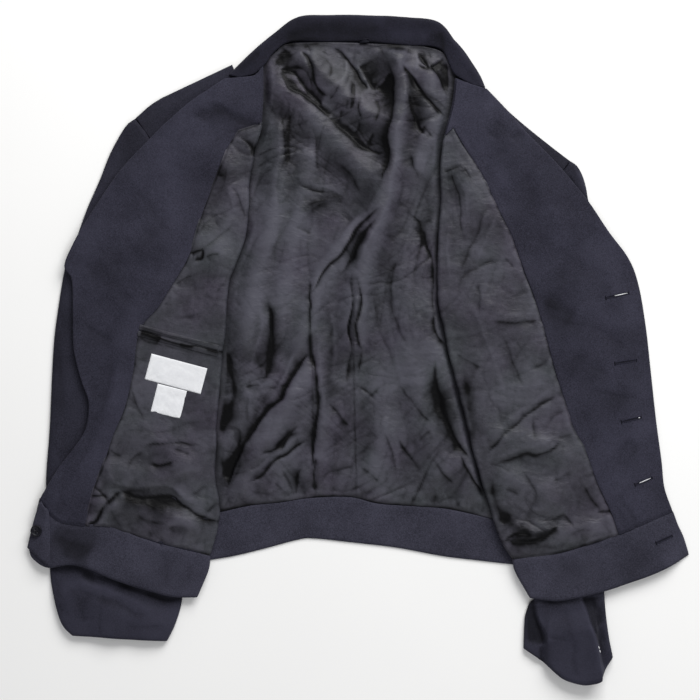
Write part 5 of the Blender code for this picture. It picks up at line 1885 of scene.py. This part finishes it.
    def build_facing(self) -> None:
        """The facing, which also spans the neck end, with turned edges."""
        form = self.form
        neck, body = edged(self.neck_rows, True, False), edged(self.body_rows, False, True)
        facing, lining, _ = self.plan(neck, body, edged(self.facing_columns), edged(50, False, True))
        plan = np.hstack([facing, lining[:, 1:]])
        z = self.facing_z(plan)
        free = np.vstack([line_at(form.neck_free, even(40)), line_at(form.body_free, even(120))[1:]])
        gorge = line_at(form.gorge_outer + form.gorge_inner[1:], even(30))
        for line, radius, depth in ((free, 2.0, 0.8), (form.seam(), 1.1, 0.5), (gorge, 1.2, 0.3)):
            part = np.clip(distance_to(line, plan) / radius, 0, 1)
            z = z - depth * (1 - np.sqrt(1 - (1 - part) ** 2))
        z = z - 1.2 * soft_step(1 - distance_to(line_at(form.seam_outer, even(30)), plan) / 3.5)
        kept = np.zeros((plan.shape[0] - 1, plan.shape[1] - 1), dtype=bool)
        kept[:len(neck) - 1] = True
        kept[:, :facing.shape[1] - 1] = True
        # The shade is painted shade in the facing's creases, with the nap's random unevenness
        self.shop.sheet(self.named("facing_cloth"), raised(plan, z), Cloth.SHELL, self.named("facing"),
                        kept=kept, lip=1.2,
                        rests_on=[self.named("shell_cloth")],
                        shade=0.5 * painted_shade_of(self.facing_creases, plan, 1.9) + unevenness(plan))

    def build_lining(self) -> None:
        """The lining, tucked under the facing at its seam, with a rolled side and the layer under it."""
        _, lining, pleat = self.plan(even(4), edged(self.body_rows), even(4),
                                     edged(self.lining_columns, True, False))
        plan = lining[4:].copy()
        plan[:, 0, 0] += self.form.side * 1.6
        plan[0, :, 1] += 1.6
        z, shade = self.lining_z(plan), self.lining_shade(plan)
        z[:, 0] -= 0.5
        z[0] -= 0.5
        z = z - 1.4 * soft_step(1 - distance_to(line_at(self.form.seam_inner, even(40)), plan) / 4.0)
        grid = rolled(raised(plan, z), PLEAT_LINING_Z + neck_lift(plan[:, -1]), 8, pleat[4:], 3, back=6)
        shade = np.pad(shade, ((0, 0), (0, grid.shape[1] - shade.shape[1])), mode="edge")
        self.shop.sheet(self.named("lining_cloth"), grid, Cloth.LINING, self.named("lining"),
                        rests_on=[self.named("shell_cloth")], shade=shade)

    def build_band(self) -> None:
        """The waistband: its inner end rolls under, and the right one's outer end turns back over it."""
        form = self.form
        has_turned_end = form.side < 0
        across, down = even(110), even(24)
        last_x, last_y = form.seam_inner[-1]
        seam_inner = form.seam_inner[:-1] + [(last_x + form.side * FOLD_REACH, last_y)]
        seam = np.vstack([line_at(form.seam_outer, even(30)), line_at(seam_inner, even(80))[1:]])
        inner = line_at(form.band_inner, down) + (form.side * BAND_REACH, 0)
        outer = line_at(form.band_end, down)
        top = offset(seam, form.side * 0.3)
        if has_turned_end:
            outer = outer + ((TURNED_RISE + BAND) / 2, 0)
            top[0] = outer[0, 0], np.interp(outer[0, 0], top[:, 0], top[:, 1]) - 1.0
        top[-1] = inner[0] - (0, 0.5)
        low = line_at([tuple(outer[-1])] + form.band_low[1:-1] + [tuple(inner[-1])], across)
        outer[0], inner[0] = top[0], top[-1]
        plan = patch(top, low, outer, inner, across, down)
        rim = np.minimum(distance_to(top, plan), distance_to(low, plan))
        z = self.band_z(plan) - BAND / 2 + rim_shape(rim, 0.55, 0.22)
        grid = rolled(raised(plan, z), np.full(plan.shape[0], BAND_UNDER_Z), 8)
        self.shop.walled(self.named("waistband_cloth"), grid, BAND - 0.4, Cloth.BAND, self.named("waistband"),
                         [form.name + "_sleeve_cloth"], self.band_shade)
        if has_turned_end:
            self.build_turned_end(grid[:, 0], down)

    def build_turned_end(self, fold: Array, down: Array) -> None:
        """The band's end that is turned back over it, outer face up.

        Args:
            fold: the band's own first column.
            down: shares of its rows.
        """
        free = line_at(TURNED_END_EDGE, down)
        columns = []
        for share in even(22):
            plan = (1 - share) * free + share * fold[:, :2]
            sag = 0.5 * bell((1 - share) / 0.2) + 1.6 * bell(share / 0.26)
            columns.append(raised(plan, self.form.shell_z(plan) + TURNED_RISE - 0.2 - sag))
        top = np.stack(columns, axis=1)
        top[..., 2] -= 0.6 * bell(edge_steps(len(down))[:, None] / 1.1)
        grid = rolled(top, fold[:, 2] + 0.3, 8)
        self.shop.walled("right_waistband_turned_end", grid, BAND - 0.6, Cloth.BAND, None,
                         ["right_front_waistband_cloth"], lambda plan: unevenness(plan) + 0.02)


@dataclass
class BackPanels:
    """The back: shell with its yoke, lining with its folds, and waistband."""

    shop: Workshop
    fronts: Sequence[FrontForm]
    creases: Sequence[Crease]
    band_creases: Sequence[Crease]
    painted_shading: Sequence[Crease]
    seams: Sequence[Crease]
    rows: int = 396
    columns: int = 232

    def mask(self, plan: Array) -> Array:
        """1 on the part of the lining that shows, 0 under the fronts' folded edges.

        Args:
            plan: points of the plan.

        Returns:
            A share for each point.
        """
        shown = np.ones(plan.shape[:-1])
        for front in self.fronts:
            edge = np.array(front.neck_fold + front.body_fold[1:])[::-1]
            inside = -front.side * (plan[..., 0] - np.interp(plan[..., 1], edge[:, 1], edge[:, 0]))
            shown *= soft_step((inside + 1) / 8.5)
        return shown

    def lining_z(self, plan: Array, ends: Array) -> Array:
        """Upper face of the creased lining.

        Args:
            plan: points of the plan.
            ends: 0 at the neck and waist seams, 1 away from them.

        Returns:
            The heights.
        """
        base = sum(fold.relief(plan) for fold in BACK_FOLDS)
        creases = 0.6 * relief_of(self.creases, plan, 1.3) + relief_of(self.seams, plan, 1.0, 0.0)
        made = (base + creases + crumpled(LINING_CRUMPLE, plan)) * self.mask(plan) * ends
        return np.maximum(BACK_LINING_Z + LINING / 2 + made, 2.0) + neck_lift(plan)

    def build(self) -> None:
        """Builds the back's pieces."""
        self.build_shell()
        self.build_lining()
        self.build_band()

    def build_shell(self) -> None:
        """The shell, outer side down on the floor."""
        across, upper, lower = even(30), even(14), even(24)
        underarm = straight(BACK_RIGHT_ARMHOLE[-1], BACK_LEFT_ARMHOLE[-1], across)
        yoke = patch(line_at(BACK_TOP, across), underarm, line_at(BACK_RIGHT_ARMHOLE, upper),
                     line_at(BACK_LEFT_ARMHOLE, upper), across, upper)
        body = patch(underarm, line_at(WAIST_SEAM, across), line_at(RIGHT_SIDE_SEAM, lower),
                     line_at(LEFT_SIDE_SEAM, lower), across, lower)
        plan = np.vstack([yoke, body[1:]])
        grid = raised(plan, 0.65 + neck_lift(plan))
        self.shop.walled("back_shell_cloth", grid, 1.1, Cloth.OUTSIDE, "back_shell", ["floor"])

    def build_lining(self) -> None:
        """The lining, wider than the shell, so that it lies in folds."""
        right, left = self.fronts
        down, across = even(self.rows), even(self.columns)
        right_edge = right.neck_pleat + right.body_pleat[1:-1] + RIGHT_SIDE_SEAM[-1:]
        left_edge = left.neck_pleat + left.body_pleat[1:-1] + LEFT_SIDE_SEAM[-1:]
        right_line = line_at(np.array(right_edge) + (3, 0), down)
        left_line = line_at(np.array(left_edge) - (3, 0), down)
        neck = line_at([tuple(right_line[0])] + NECK_SEAM[1:-1] + [tuple(left_line[0])], across)
        seam = line_at(WAIST_SEAM, across)
        seam[0, 0], seam[-1, 0] = right_line[-1, 0], left_line[-1, 0]
        seam[:, 1] += 0.4
        right_line[-1], left_line[-1] = seam[0], seam[-1]
        plan = patch(neck, seam, right_line, left_line, across, down)
        z = self.lining_z(plan, (soft_step(down / 0.022) * soft_step((1 - down) / 0.016))[:, None])
        waist = bell((1 - down) / 0.006)[:, None]
        z -= 0.5 * waist
        shown = self.mask(plan)
        # Painted shade in the creases, in low places and on planes turned from the light, painted highlights
        # on ridges, and shade along the seam lines
        shade = 0.8 * painted_shade_of(self.creases, plan, 1.1) + painted_shade_of(self.painted_shading, plan, 1.2, 1.6)
        shade = (shade + painted_shade_of(self.seams, plan, 1.0, 0.0) + painted_hollow_shade(z) + painted_facet_shading(plan)) * shown
        # Painted shade where the lining dips into its waist and neck seams
        shade += (0.8 * waist + 0.5 * bell(down / 0.008)[:, None]) * patchy(plan, 17.0, 0.4)
        # Painted shadow that the fronts' folded edges cast on the lining
        shade += 0.7 * (1 - shown) ** 2 * patchy(plan, 21.0, 0.45, 1.3)
        self.shop.sheet("back_lining_cloth", raised(plan, z), Cloth.LINING, "back_lining", lip=0.6,
                        rests_on=["back_shell_cloth"], shade=np.clip(shade, LIGHTEST, DARKEST))

    def build_band(self) -> None:
        """The back part of the waistband, inner side up."""
        across, down = even(150), even(24)
        seam, hem = offset(line_at(WAIST_SEAM, across), -0.3), line_at(BACK_HEM, across)
        ends = [straight(seam[k], hem[k], down) for k in (0, -1)]
        plan = patch(seam, hem, *ends, across, down)
        rim = np.minimum(distance_to(seam, plan), distance_to(hem, plan))
        z = BAND_Z + relief_of(self.band_creases, plan) + 0.4 * crumpled(SHELL_CRUMPLE, plan)
        grid = raised(plan, np.maximum(z + rim_shape(rim, 0.5, 0.2), BAND_Z - 0.1))
        self.shop.walled("back_waistband_cloth", grid, BAND - 0.4, Cloth.BAND, "back_waistband", ["floor"])


@dataclass
class ShouldersAndSleeves:
    """The fronts' shoulder ends, outer side up, and the sleeves laid flat under the fronts."""

    shop: Workshop
    strips: dict
    sleeves: Sequence[SleeveForm]
    creases: Sequence[Crease]

    def build(self) -> None:
        """Builds both shoulders and both sleeves."""
        for name, (top, low) in self.strips.items():
            self.build_shoulder(name, top, low)
        for sleeve in self.sleeves:
            self.build_sleeve(sleeve)

    def build_shoulder(self, name: str, top: Points, low: Points) -> None:
        """One shoulder's end.

        Args:
            name: whose side it is on.
            top: its outer edge.
            low: its edge under the front.
        """
        upper, lower = line_at(top, even(60)), line_at(low, even(60))
        rows = []
        for step in even(16):
            plan = (1 - step) * upper + step * lower
            rise = np.interp(step, [0, 0.06, 0.35, 1], [2.9, 3.5, 5.1, 5.1])
            rows.append(raised(plan, rise + neck_lift(plan)))
        grid = np.stack(rows)
        grid[:, 0, 0] -= np.sign(grid[:, 0, 0]) * 1.4
        grid[..., 2] += 0.6 * crumpled(SHELL_CRUMPLE, grid)
        self.shop.sheet(name + "_shoulder_cloth", grid, Cloth.OUTSIDE, name + "_shoulder", lip=1.2,
                        rests_on=["back_shell_cloth"], shade=unevenness(grid) + 0.1)

    def build_sleeve(self, sleeve: SleeveForm) -> None:
        """One sleeve: a flattened tube, open at the armhole and at the cuff.

        Args:
            sleeve: its form.
        """
        top = np.concatenate([[0.0, 0.006, 0.02], np.linspace(0.045, 0.955, 62), [0.98, 0.994, 1.0]])
        shares = np.concatenate([top, np.linspace(0.97, 0.03, 14)])
        upper = slice(0, len(top))
        order = np.argsort(shares, kind="stable")
        down = np.concatenate([np.linspace(0, 0.68, 90), np.linspace(0.684, 1, 90)])
        plan = patch(line_at(sleeve.armhole, shares[order]), line_at(sleeve.cuff_end, shares[order]),
                     line_at(sleeve.outer, down), line_at(sleeve.inner, down), shares[order], down)
        plan = plan[:, np.argsort(order)]
        low = np.array(sorted(sleeve.covered_by.band_low))
        below = np.interp(plan[..., 0], low[:, 0], low[:, 1]) - plan[..., 1]
        fine = line_at(np.array(sleeve.cuff_heights) * (60, 1), even(200))
        full = np.interp(shares, fine[:, 0] / 60, fine[:, 1])
        height = sleeve.height + (full[None, :] - sleeve.height) * soft_step((below - 12) / 26)
        edge = np.minimum(shares, 1 - shares)[None, upper]
        crown = np.sqrt(np.clip(1 - (1 - np.clip(edge / 0.045, 0, 1)) ** 2, 0, 1))
        shown = relief_of(self.creases, plan[:, upper]) + 1.1 * crumpled(SHELL_CRUMPLE, plan[:, upper])
        z = np.full(plan.shape[:-1], 0.35)
        z[:, upper] = height[:, upper] * (0.5 + 0.5 * crown) + shown * crown
        z[:, 0] = z[:, len(top) - 1] = sleeve.height * 0.42
        z = z * (0.88 + 0.12 * soft_step((1 - down) / 0.008)[:, None])
        z[:, upper] = np.maximum(z[:, upper], SHELL)
        # Painted shade in the creases, the nap's random unevenness, and painted light on the cuffs below the
        # waistband
        shade = 0.9 * painted_shade_of(self.creases, plan) + unevenness(plan) - 0.3 * soft_step((below + 6) / 16)
        self.shop.sheet(sleeve.name + "_sleeve_cloth", raised(plan, z), Cloth.OUTSIDE,
                        sleeve.name + "_sleeve",
                        lip=1.6, rests_on=["floor"], closed=True, shade=shade)


@dataclass
class CollarPanels:
    """The collar, inner side up, its fall folded under the back's neck."""

    shop: Workshop
    creases: Sequence[Crease]
    painted_shading: Sequence[Crease]
    stations: int = 190

    def grid(self) -> Array:
        """Middle points of the collar's wall."""
        along = even(self.stations)
        inner, outer = offset(line_at(COLLAR_INNER, along), 0.5), line_at(COLLAR_OUTER, along)
        seam_z, roll_z, fall = (np.interp(along, COLLAR_SHAPE[:, 0], COLLAR_SHAPE[:, k]) for k in (1, 2, 3))
        heading = unit(outer - inner)
        crown = outer - heading * ((roll_z - FALL_Z) / 2 + COLLAR / 2)[:, None]
        columns = []
        for share in even(16):
            plan = (1 - share) * inner + share * crown
            crease = 0.8 * (relief_of(self.creases, plan) + 0.8 * crumpled(SHELL_CRUMPLE, plan))
            base = seam_z + (roll_z - seam_z) * soft_step(share)
            columns.append(raised(plan, base + crease - 0.4 * bell(share / 0.08)))
        radius = (columns[-1][:, 2] - FALL_Z) / 2
        for turn in np.linspace(np.pi / 2, -np.pi / 2, 13)[1:]:
            plan = crown + heading * (radius * np.cos(turn))[:, None]
            columns.append(raised(plan, FALL_Z + radius + radius * np.sin(turn)))
        columns += [raised(crown - heading * (fall * share)[:, None], FALL_Z) for share in even(6)[1:]]
        return np.stack(columns, axis=1)

    def shade(self, plan: Array) -> Array:
        """Painted shade and highlights on the collar, with the nap's random unevenness."""
        return painted_shade_of(self.painted_shading, plan, 1.2, 0.6) + unevenness(plan)

    def build(self) -> None:
        """Builds the collar."""
        self.shop.walled("collar_cloth", self.grid(), COLLAR - 0.4, Cloth.COLLAR, "collar",
                         ["back_shell_cloth"],
                         self.shade)


@dataclass
class SewnOn:
    """The inside pocket's welts and the two blank labels: both ends and the width of each."""

    shop: Workshop
    front: FrontPanels
    welts: dict
    labels: dict
    under: Sequence[str] = ("right_front_lining_cloth",)

    def strip(self, spot: tuple, columns: int, rows: int) -> Array:
        """A straight strip's upper face on the creased lining.

        Args:
            spot: the middles of its ends, and its width.
            columns: steps along it.
            rows: steps across it.

        Returns:
            Its grid.
        """
        start, end = np.array(spot[:2], dtype=float)
        run = (end - start) / np.linalg.norm(end - start)
        side = np.array([-run[1], run[0]]) * spot[2]
        plan = np.stack([straight(start + side * (0.5 - share), end + side * (0.5 - share), even(columns))
                         for share in even(rows)])
        base, lining = self.front.form.lining_z(plan), self.front.lining_z(plan)
        shape = 0.35 * (lining - base)
        return raised(plan, base + shape + 0.25 + np.maximum(lining - base - shape, 0).max())

    def build(self) -> None:
        """Builds the welts and the labels."""
        for name, spot in self.welts.items():
            grid = self.strip(spot, 90, 12)
            bow = np.sin(np.linspace(0, math.pi, grid.shape[0]))[:, None]
            grid[..., 2] += 0.3 * bow + 0.5 * crumpled(FRONT_CRUMPLE, grid)
            # The welts carry the painted shadow of the pocket's slit and of their own edges
            self.shop.sheet(name + "_cloth", grid, Cloth.WELT, name, lip=0.6, rests_on=self.under,
                            shade=painted_shade_of(POCKET_PAINTED_SHADOW, grid, 1.0, 0.25))
        for name, spot in self.labels.items():
            grid = self.strip(spot, 50, 30)
            rows, columns = (edge_steps(count) for count in grid.shape[:2])
            grid[..., 2] -= 0.3 * bell(np.minimum(rows[:, None], columns[None, :]) / 1.2)
            grid[..., 2] += 0.3 * crumpled(LINING_CRUMPLE, grid * 1.3)
            self.shop.sheet(name + "_cloth", grid, Cloth.LABEL, name, lip=0.5, rests_on=self.under)


@dataclass
class Sewing:
    """Buttonholes, the hanger's tack and two thread ends."""

    shop: Workshop
    left: FrontPanels
    holes: Sequence[tuple[Points, float]]
    band_hole: Points
    thread_ends: Sequence[Points]
    tack_height: float = 7.4

    def tube(self, line: Array, radius: Array, closed: bool = False, sides: int = 7) -> tuple[Array, Array]:
        """A round thread along a line.

        Args:
            line: its middle points, in millimetres.
            radius: its radius at each of them.
            closed: whether it joins up.
            sides: how many sides its section has.

        Returns:
            Its points and faces.
        """
        ahead = np.roll(line, -1, axis=0) - np.roll(line, 1, axis=0) if closed else np.gradient(line, axis=0)
        ahead = unit(ahead)
        side = unit(np.cross(ahead, UPWARDS))
        up = np.cross(side, ahead)
        turn = np.linspace(0, 2 * math.pi, sides, endpoint=False)[None, :, None]
        spokes = np.cos(turn) * side[:, None] + np.sin(turn) * up[:, None]
        rings = line[:, None] + radius[:, None, None] * spokes
        return rings.reshape(-1, 3), cells_of(len(line) + closed, sides, closed=True) % (len(line) * sides)

    def add(self, store: Store, points: Array, cells: Array) -> None:
        """Adds points and faces to what one piece has so far."""
        store[1].extend((cells + sum(len(part) for part in store[0])).tolist())
        store[0].append(points)

    def buttonhole(self, ends: Points, open_share: float, surface: Callable[[Array], Array], rim: Store,
                   slit: Store, pale: Store) -> None:
        """One worked buttonhole: a ring of thread about a slit, with a bar at its inner end.

        Args:
            ends: its inner and outer end on the measuring grid.
            open_share: share of the slit where the ground shows through.
            surface: height of the cloth.
            rim: takes the thread.
            slit: takes the dark thread and the dark strip painted in as the slit's shadow.
            pale: takes the pale inner thread.
        """
        a, b = plan_of(ends)
        length = np.linalg.norm(b - a)
        run = (b - a) / length
        side = np.array([-run[1], run[0]])
        turn = np.linspace(0, 2 * math.pi, 120, endpoint=False)
        flat = (a + b) / 2 + run * (length / 2 * np.sign(np.cos(turn)) * np.abs(np.cos(turn)) ** 0.8)[:, None]
        flat = flat + side * (1.25 * np.sign(np.sin(turn)) * np.abs(np.sin(turn)) ** 0.7)[:, None]
        self.add(rim, *self.tube(raised(flat, surface(flat) + 0.05), 0.5 + 0.1 * np.sin(turn * 34), True))
        for spot, reach in ((a, 1.9), (b, 1.3)):
            bar = straight(spot - side * reach, spot + side * reach, even(8))
            self.add(slit, *self.tube(raised(bar, surface(bar) + 0.3), np.full(9, 0.6)))
        # A dark strip laid in the slit: painted shadow where the cut opens
        core = straight(a + run, b - run * 0.6, even(24))
        grid = np.stack([raised(core + side * w, surface(core) + 0.3) for w in (-0.75, 0.75)])
        self.add(slit, grid.reshape(-1, 3), cells_of(2, 25)[:, [0, 3, 2, 1]])
        if open_share:
            line = straight(b - run * length * open_share, b - run * 1.6, even(20))
            width = 0.5 * np.sin(np.linspace(0.5, math.pi - 0.3, 21))
            self.add(pale, *self.tube(raised(line, surface(line) + 0.45), width))

    def cuff_ends(self, store: Store) -> None:
        """Two short pale thread ends that stand out of the left cuff.

        Args:
            store: takes the thread.
        """
        arch = np.sin(np.linspace(0.3, math.pi - 0.3, 9))
        for ends in self.thread_ends:
            line = straight(*plan_of(ends), even(8))
            height = self.shop.top_of("left_sleeve_cloth", line[0])
            self.add(store, *self.tube(raised(line, height + 0.5 * arch), 0.55 * arch))

    def tack(self, store: Store) -> None:
        """The knotted black tack of the hanger at the middle of the neck seam.

        Args:
            store: takes the thread.
        """
        middle = plan_of([(364.5, 42)])[0]
        share = even(10)
        arch = np.sin(share * math.pi)
        for shift, length, lean in ((-1.2, 10.0, 0.08), (0.3, 9.0, -0.16), (1.7, 9.4, 0.12), (0.2, 6.5, 0.5)):
            run = np.array([math.cos(lean), math.sin(lean)])
            flat = middle + (0, shift) + (share - 0.5)[:, None] * run * length
            self.add(store, *self.tube(raised(flat, self.tack_height + 0.9 * arch), 0.65 + 0.5 * arch))

    def build(self) -> None:
        """Builds the sewn details."""
        rim, slit, pale = ([], []), ([], []), ([], [])
        for ends, open_share in self.holes:
            self.buttonhole(ends, open_share, self.left.facing_z, rim, slit, pale)
        self.buttonhole(self.band_hole, 0.0, self.left.band_z, rim, slit, pale)
        self.tack(slit)
        self.cuff_ends(pale)
        for name, (points, faces), cloth in (("buttonhole_thread", rim, Cloth.NAVY_THREAD),
                                             ("dark_sewing", slit, Cloth.DARK_THREAD),
                                             ("pale_sewing", pale, Cloth.WHITE_THREAD)):
            self.shop.piece(name, np.vstack(points), faces, cloth)


@dataclass
class Buttons:
    """The waistband's button on its turned end, and the four that hang under the right front's edge."""

    shop: Workshop
    form: FrontForm
    depth: float = 2.4
    sides: int = 64
    # Its section, from the middle of its face round the rim to the middle of its underside:
    # radius, and height as a share of the depth
    section: str = ("0.1 0.62, 0.55 0.62, 1.5 0.64, 3 0.66, 3.9 0.7, 4.5 0.9, 5 1, 5.6 0.98, 6 0.86, "
                    "6.25 0.6, 6.1 0.3, 5.4 0.04, 3.5 0, 0.1 0")
    hole_spots: Points = ((1.15, 1.15), (-1.15, 1.15), (1.15, -1.15), (-1.15, -1.15))

    def button(self, name: str, spot: tuple[float, float], rise: float) -> None:
        """A moulded button with a raised rim, a dished middle and four holes.

        Args:
            name: the solid that it stands for.
            spot: its middle in plan.
            rise: its underside over the middle of the shell.
        """
        radius, height = np.array(path(self.section)).T
        turn = np.linspace(0, 2 * math.pi, self.sides, endpoint=False)
        grid = np.stack([np.outer(radius, np.cos(turn)), np.outer(radius, np.sin(turn)),
                         np.repeat(height[:, None] * self.depth, self.sides, axis=1)], axis=-1)
        dished = grid[:5]
        for hole_x, hole_y in self.hole_spots:
            near = np.hypot(dished[..., 0] - hole_x, dished[..., 1] - hole_y)
            dished[..., 2] -= 0.9 * np.exp(-(near / 0.55) ** 4)
        faces = cells_of(*grid.shape[:2], closed=True).tolist()
        last = grid.shape[0] * self.sides
        faces += [tuple(range(self.sides)), tuple(reversed(range(last - self.sides, last)))]
        cloth = float(self.form.shell_z(np.array([spot]))[0])
        self.shop.piece(name + "_made", grid.reshape(-1, 3) + (*spot, cloth + rise), faces, Cloth.HORN, name)

    def build(self) -> None:
        """Builds the five buttons."""
        self.button("waistband_button", BAND_BUTTON, TURNED_RISE + BAND / 2 + 0.1)
        for number, spot in enumerate(HIDDEN_BUTTONS, start=1):
            self.button(f"front_button_{number}", spot, -SHELL / 2 - 0.9 - self.depth)


@dataclass
class Studio:
    """Plain pale floor, a large soft key from the collar's side, and a camera straight above."""

    height: float = 2.2
    width: float = 0.756
    sensor: float = 36.0
    middle: tuple[float, float] = (-7.0, 1.6)
    reach: float = 4.0

    def put(self, name: str, data: bpy.types.ID) -> bpy.types.Object:
        """A new object in the scene.

        Args:
            name: its name.
            data: its mesh, light or camera.

        Returns:
            The object.
        """
        item = bpy.data.objects.new(name, data)
        bpy.context.scene.collection.objects.link(item)
        return item

    def floor(self) -> None:
        """The floor."""
        data = bpy.data.meshes.new("floor")
        corners = [(x * self.reach, y * self.reach, 0) for x, y in ((-1, -1), (1, -1), (1, 1), (-1, 1))]
        data.from_pydata(corners, [], [(0, 1, 2, 3)])
        item = self.put("floor", data)
        data.materials.append(PaleFloor("pale_floor", (0.88, 0.88, 0.88), (0.91, 0.91, 0.91)).material())

    def area(self, name: str, place: Tint, aim: Tint, size: tuple[float, float], power: float,
             tint: Tint) -> None:
        """A rectangular soft light.

        Args:
            name: the light's name.
            place: where it hangs, in metres.
            aim: the point that it is turned to.
            size: its sides in metres.
            power: its watts.
            tint: its colour.
        """
        data = bpy.data.lights.new(name, "AREA")
        data.shape = "RECTANGLE"
        data.size, data.size_y = size
        data.energy = power
        data.color = tint
        item = self.put(name, data)
        item.location = place
        item.rotation_mode = "QUATERNION"
        item.rotation_quaternion = (Vector(aim) - Vector(place)).to_track_quat("-Z", "Y")

    def sky(self) -> None:
        """Even weak light from all round."""
        world = bpy.data.worlds.new("studio")
        world.use_nodes = True
        background = world.node_tree.nodes["Background"]
        background.inputs["Color"].default_value = (1.0, 1.0, 1.0, 1.0)
        background.inputs["Strength"].default_value = 0.3
        bpy.context.scene.world = world

    def camera(self) -> None:
        """The camera, straight above and with the collar at the top."""
        data = bpy.data.cameras.new("camera")
        data.sensor_width = self.sensor
        data.lens = self.sensor * self.height / self.width
        data.clip_start, data.clip_end = 0.1, 20
        item = self.put("camera", data)
        item.location = (*((np.array(self.middle) + SHIFT) * MM), self.height)
        bpy.context.scene.camera = item

    def build(self) -> None:
        """Sets up the studio."""
        bpy.context.scene.view_settings.view_transform = "Standard"
        self.floor()
        self.sky()
        self.area("key", (0.7, 1.7, 1.36), (0.0, -0.04, 0.0), (2.0, 1.3), 69.0, (1.0, 0.995, 0.98))
        self.area("fill", (0.2, -1.5, 1.6), (0.0, -0.1, 0.0), (1.4, 1.4), 10.0, (0.97, 0.98, 1.0))
        self.camera()


@dataclass
class IkeJacket:
    """The whole jacket."""

    shop: Workshop

    def parts(self) -> list:
        """Its sub-assemblies in the order in which they are built."""
        shop = self.shop
        right = FrontPanels(shop, RIGHT_FRONT, RIGHT_FACING_CREASES, RIGHT_LINING_CREASES + RIGHT_GATHERS,
                            RIGHT_BAND_CREASES, RIGHT_PAINTED_SHADING, POCKET_PAINTED_SHADOW, RIGHT_BAND_PAINTED_SHADE,
                            path("150 332, 185 343, 220 352"))
        left = FrontPanels(shop, LEFT_FRONT, LEFT_FACING_CREASES, LEFT_LINING_CREASES + LEFT_GATHERS,
                           LEFT_BAND_CREASES, LEFT_PAINTED_SHADING)
        welts = {"pocket_welt_upper": ((-233, 26.5), (-148.5, 4.2), 5.3),
                 "pocket_welt_lower": ((-235, 19.5), (-149.5, -3.0), 5.3)}
        labels = {"brand_label": ((-224, -16), (-164, -32), 28.5),
                  "care_label": ((-217.5, -49.5), (-186, -57.5), 31)}
        holes = [(path("604.5 298, 628 293"), 0.62), (path("613.4 363.4, 635.7 360"), 0.0),
                 (path("620 421.4, 640.2 417"), 0.14), (path("633.5 484, 651.3 477.2"), 0.75)]
        return [
            BackPanels(shop, (RIGHT_FRONT, LEFT_FRONT), BACK_CREASES + BACK_GATHERS, BACK_BAND_CREASES,
                       BACK_PAINTED_SHADING, BACK_SEAMS),
            right,
            left,
            ShouldersAndSleeves(shop, {"right": RIGHT_STRIP, "left": LEFT_STRIP}, (RIGHT_SLEEVE, LEFT_SLEEVE),
                                SLEEVE_CREASES),
            CollarPanels(shop, COLLAR_CREASES, COLLAR_PAINTED_SHADING),
            SewnOn(shop, right, welts, labels),
            Buttons(shop, RIGHT_FRONT),
            Sewing(shop, left, holes, path("654.7 542, 671.4 535.3"),
                   [path("596.4 643.6, 597.2 646.4"), path("597.6 647.6, 598.4 650.2")]),
        ]


def main() -> None:
    """Builds the jacket and its studio, and reports what was made."""
    logging.basicConfig(level=logging.INFO, format="%(message)s")
    shop = Workshop(SHIFT)
    for part in IkeJacket(shop).parts():
        part.build()
    Studio().build()
    LOG.info("%d pieces", len(shop.made))


if __name__ == "__main__":
    main()
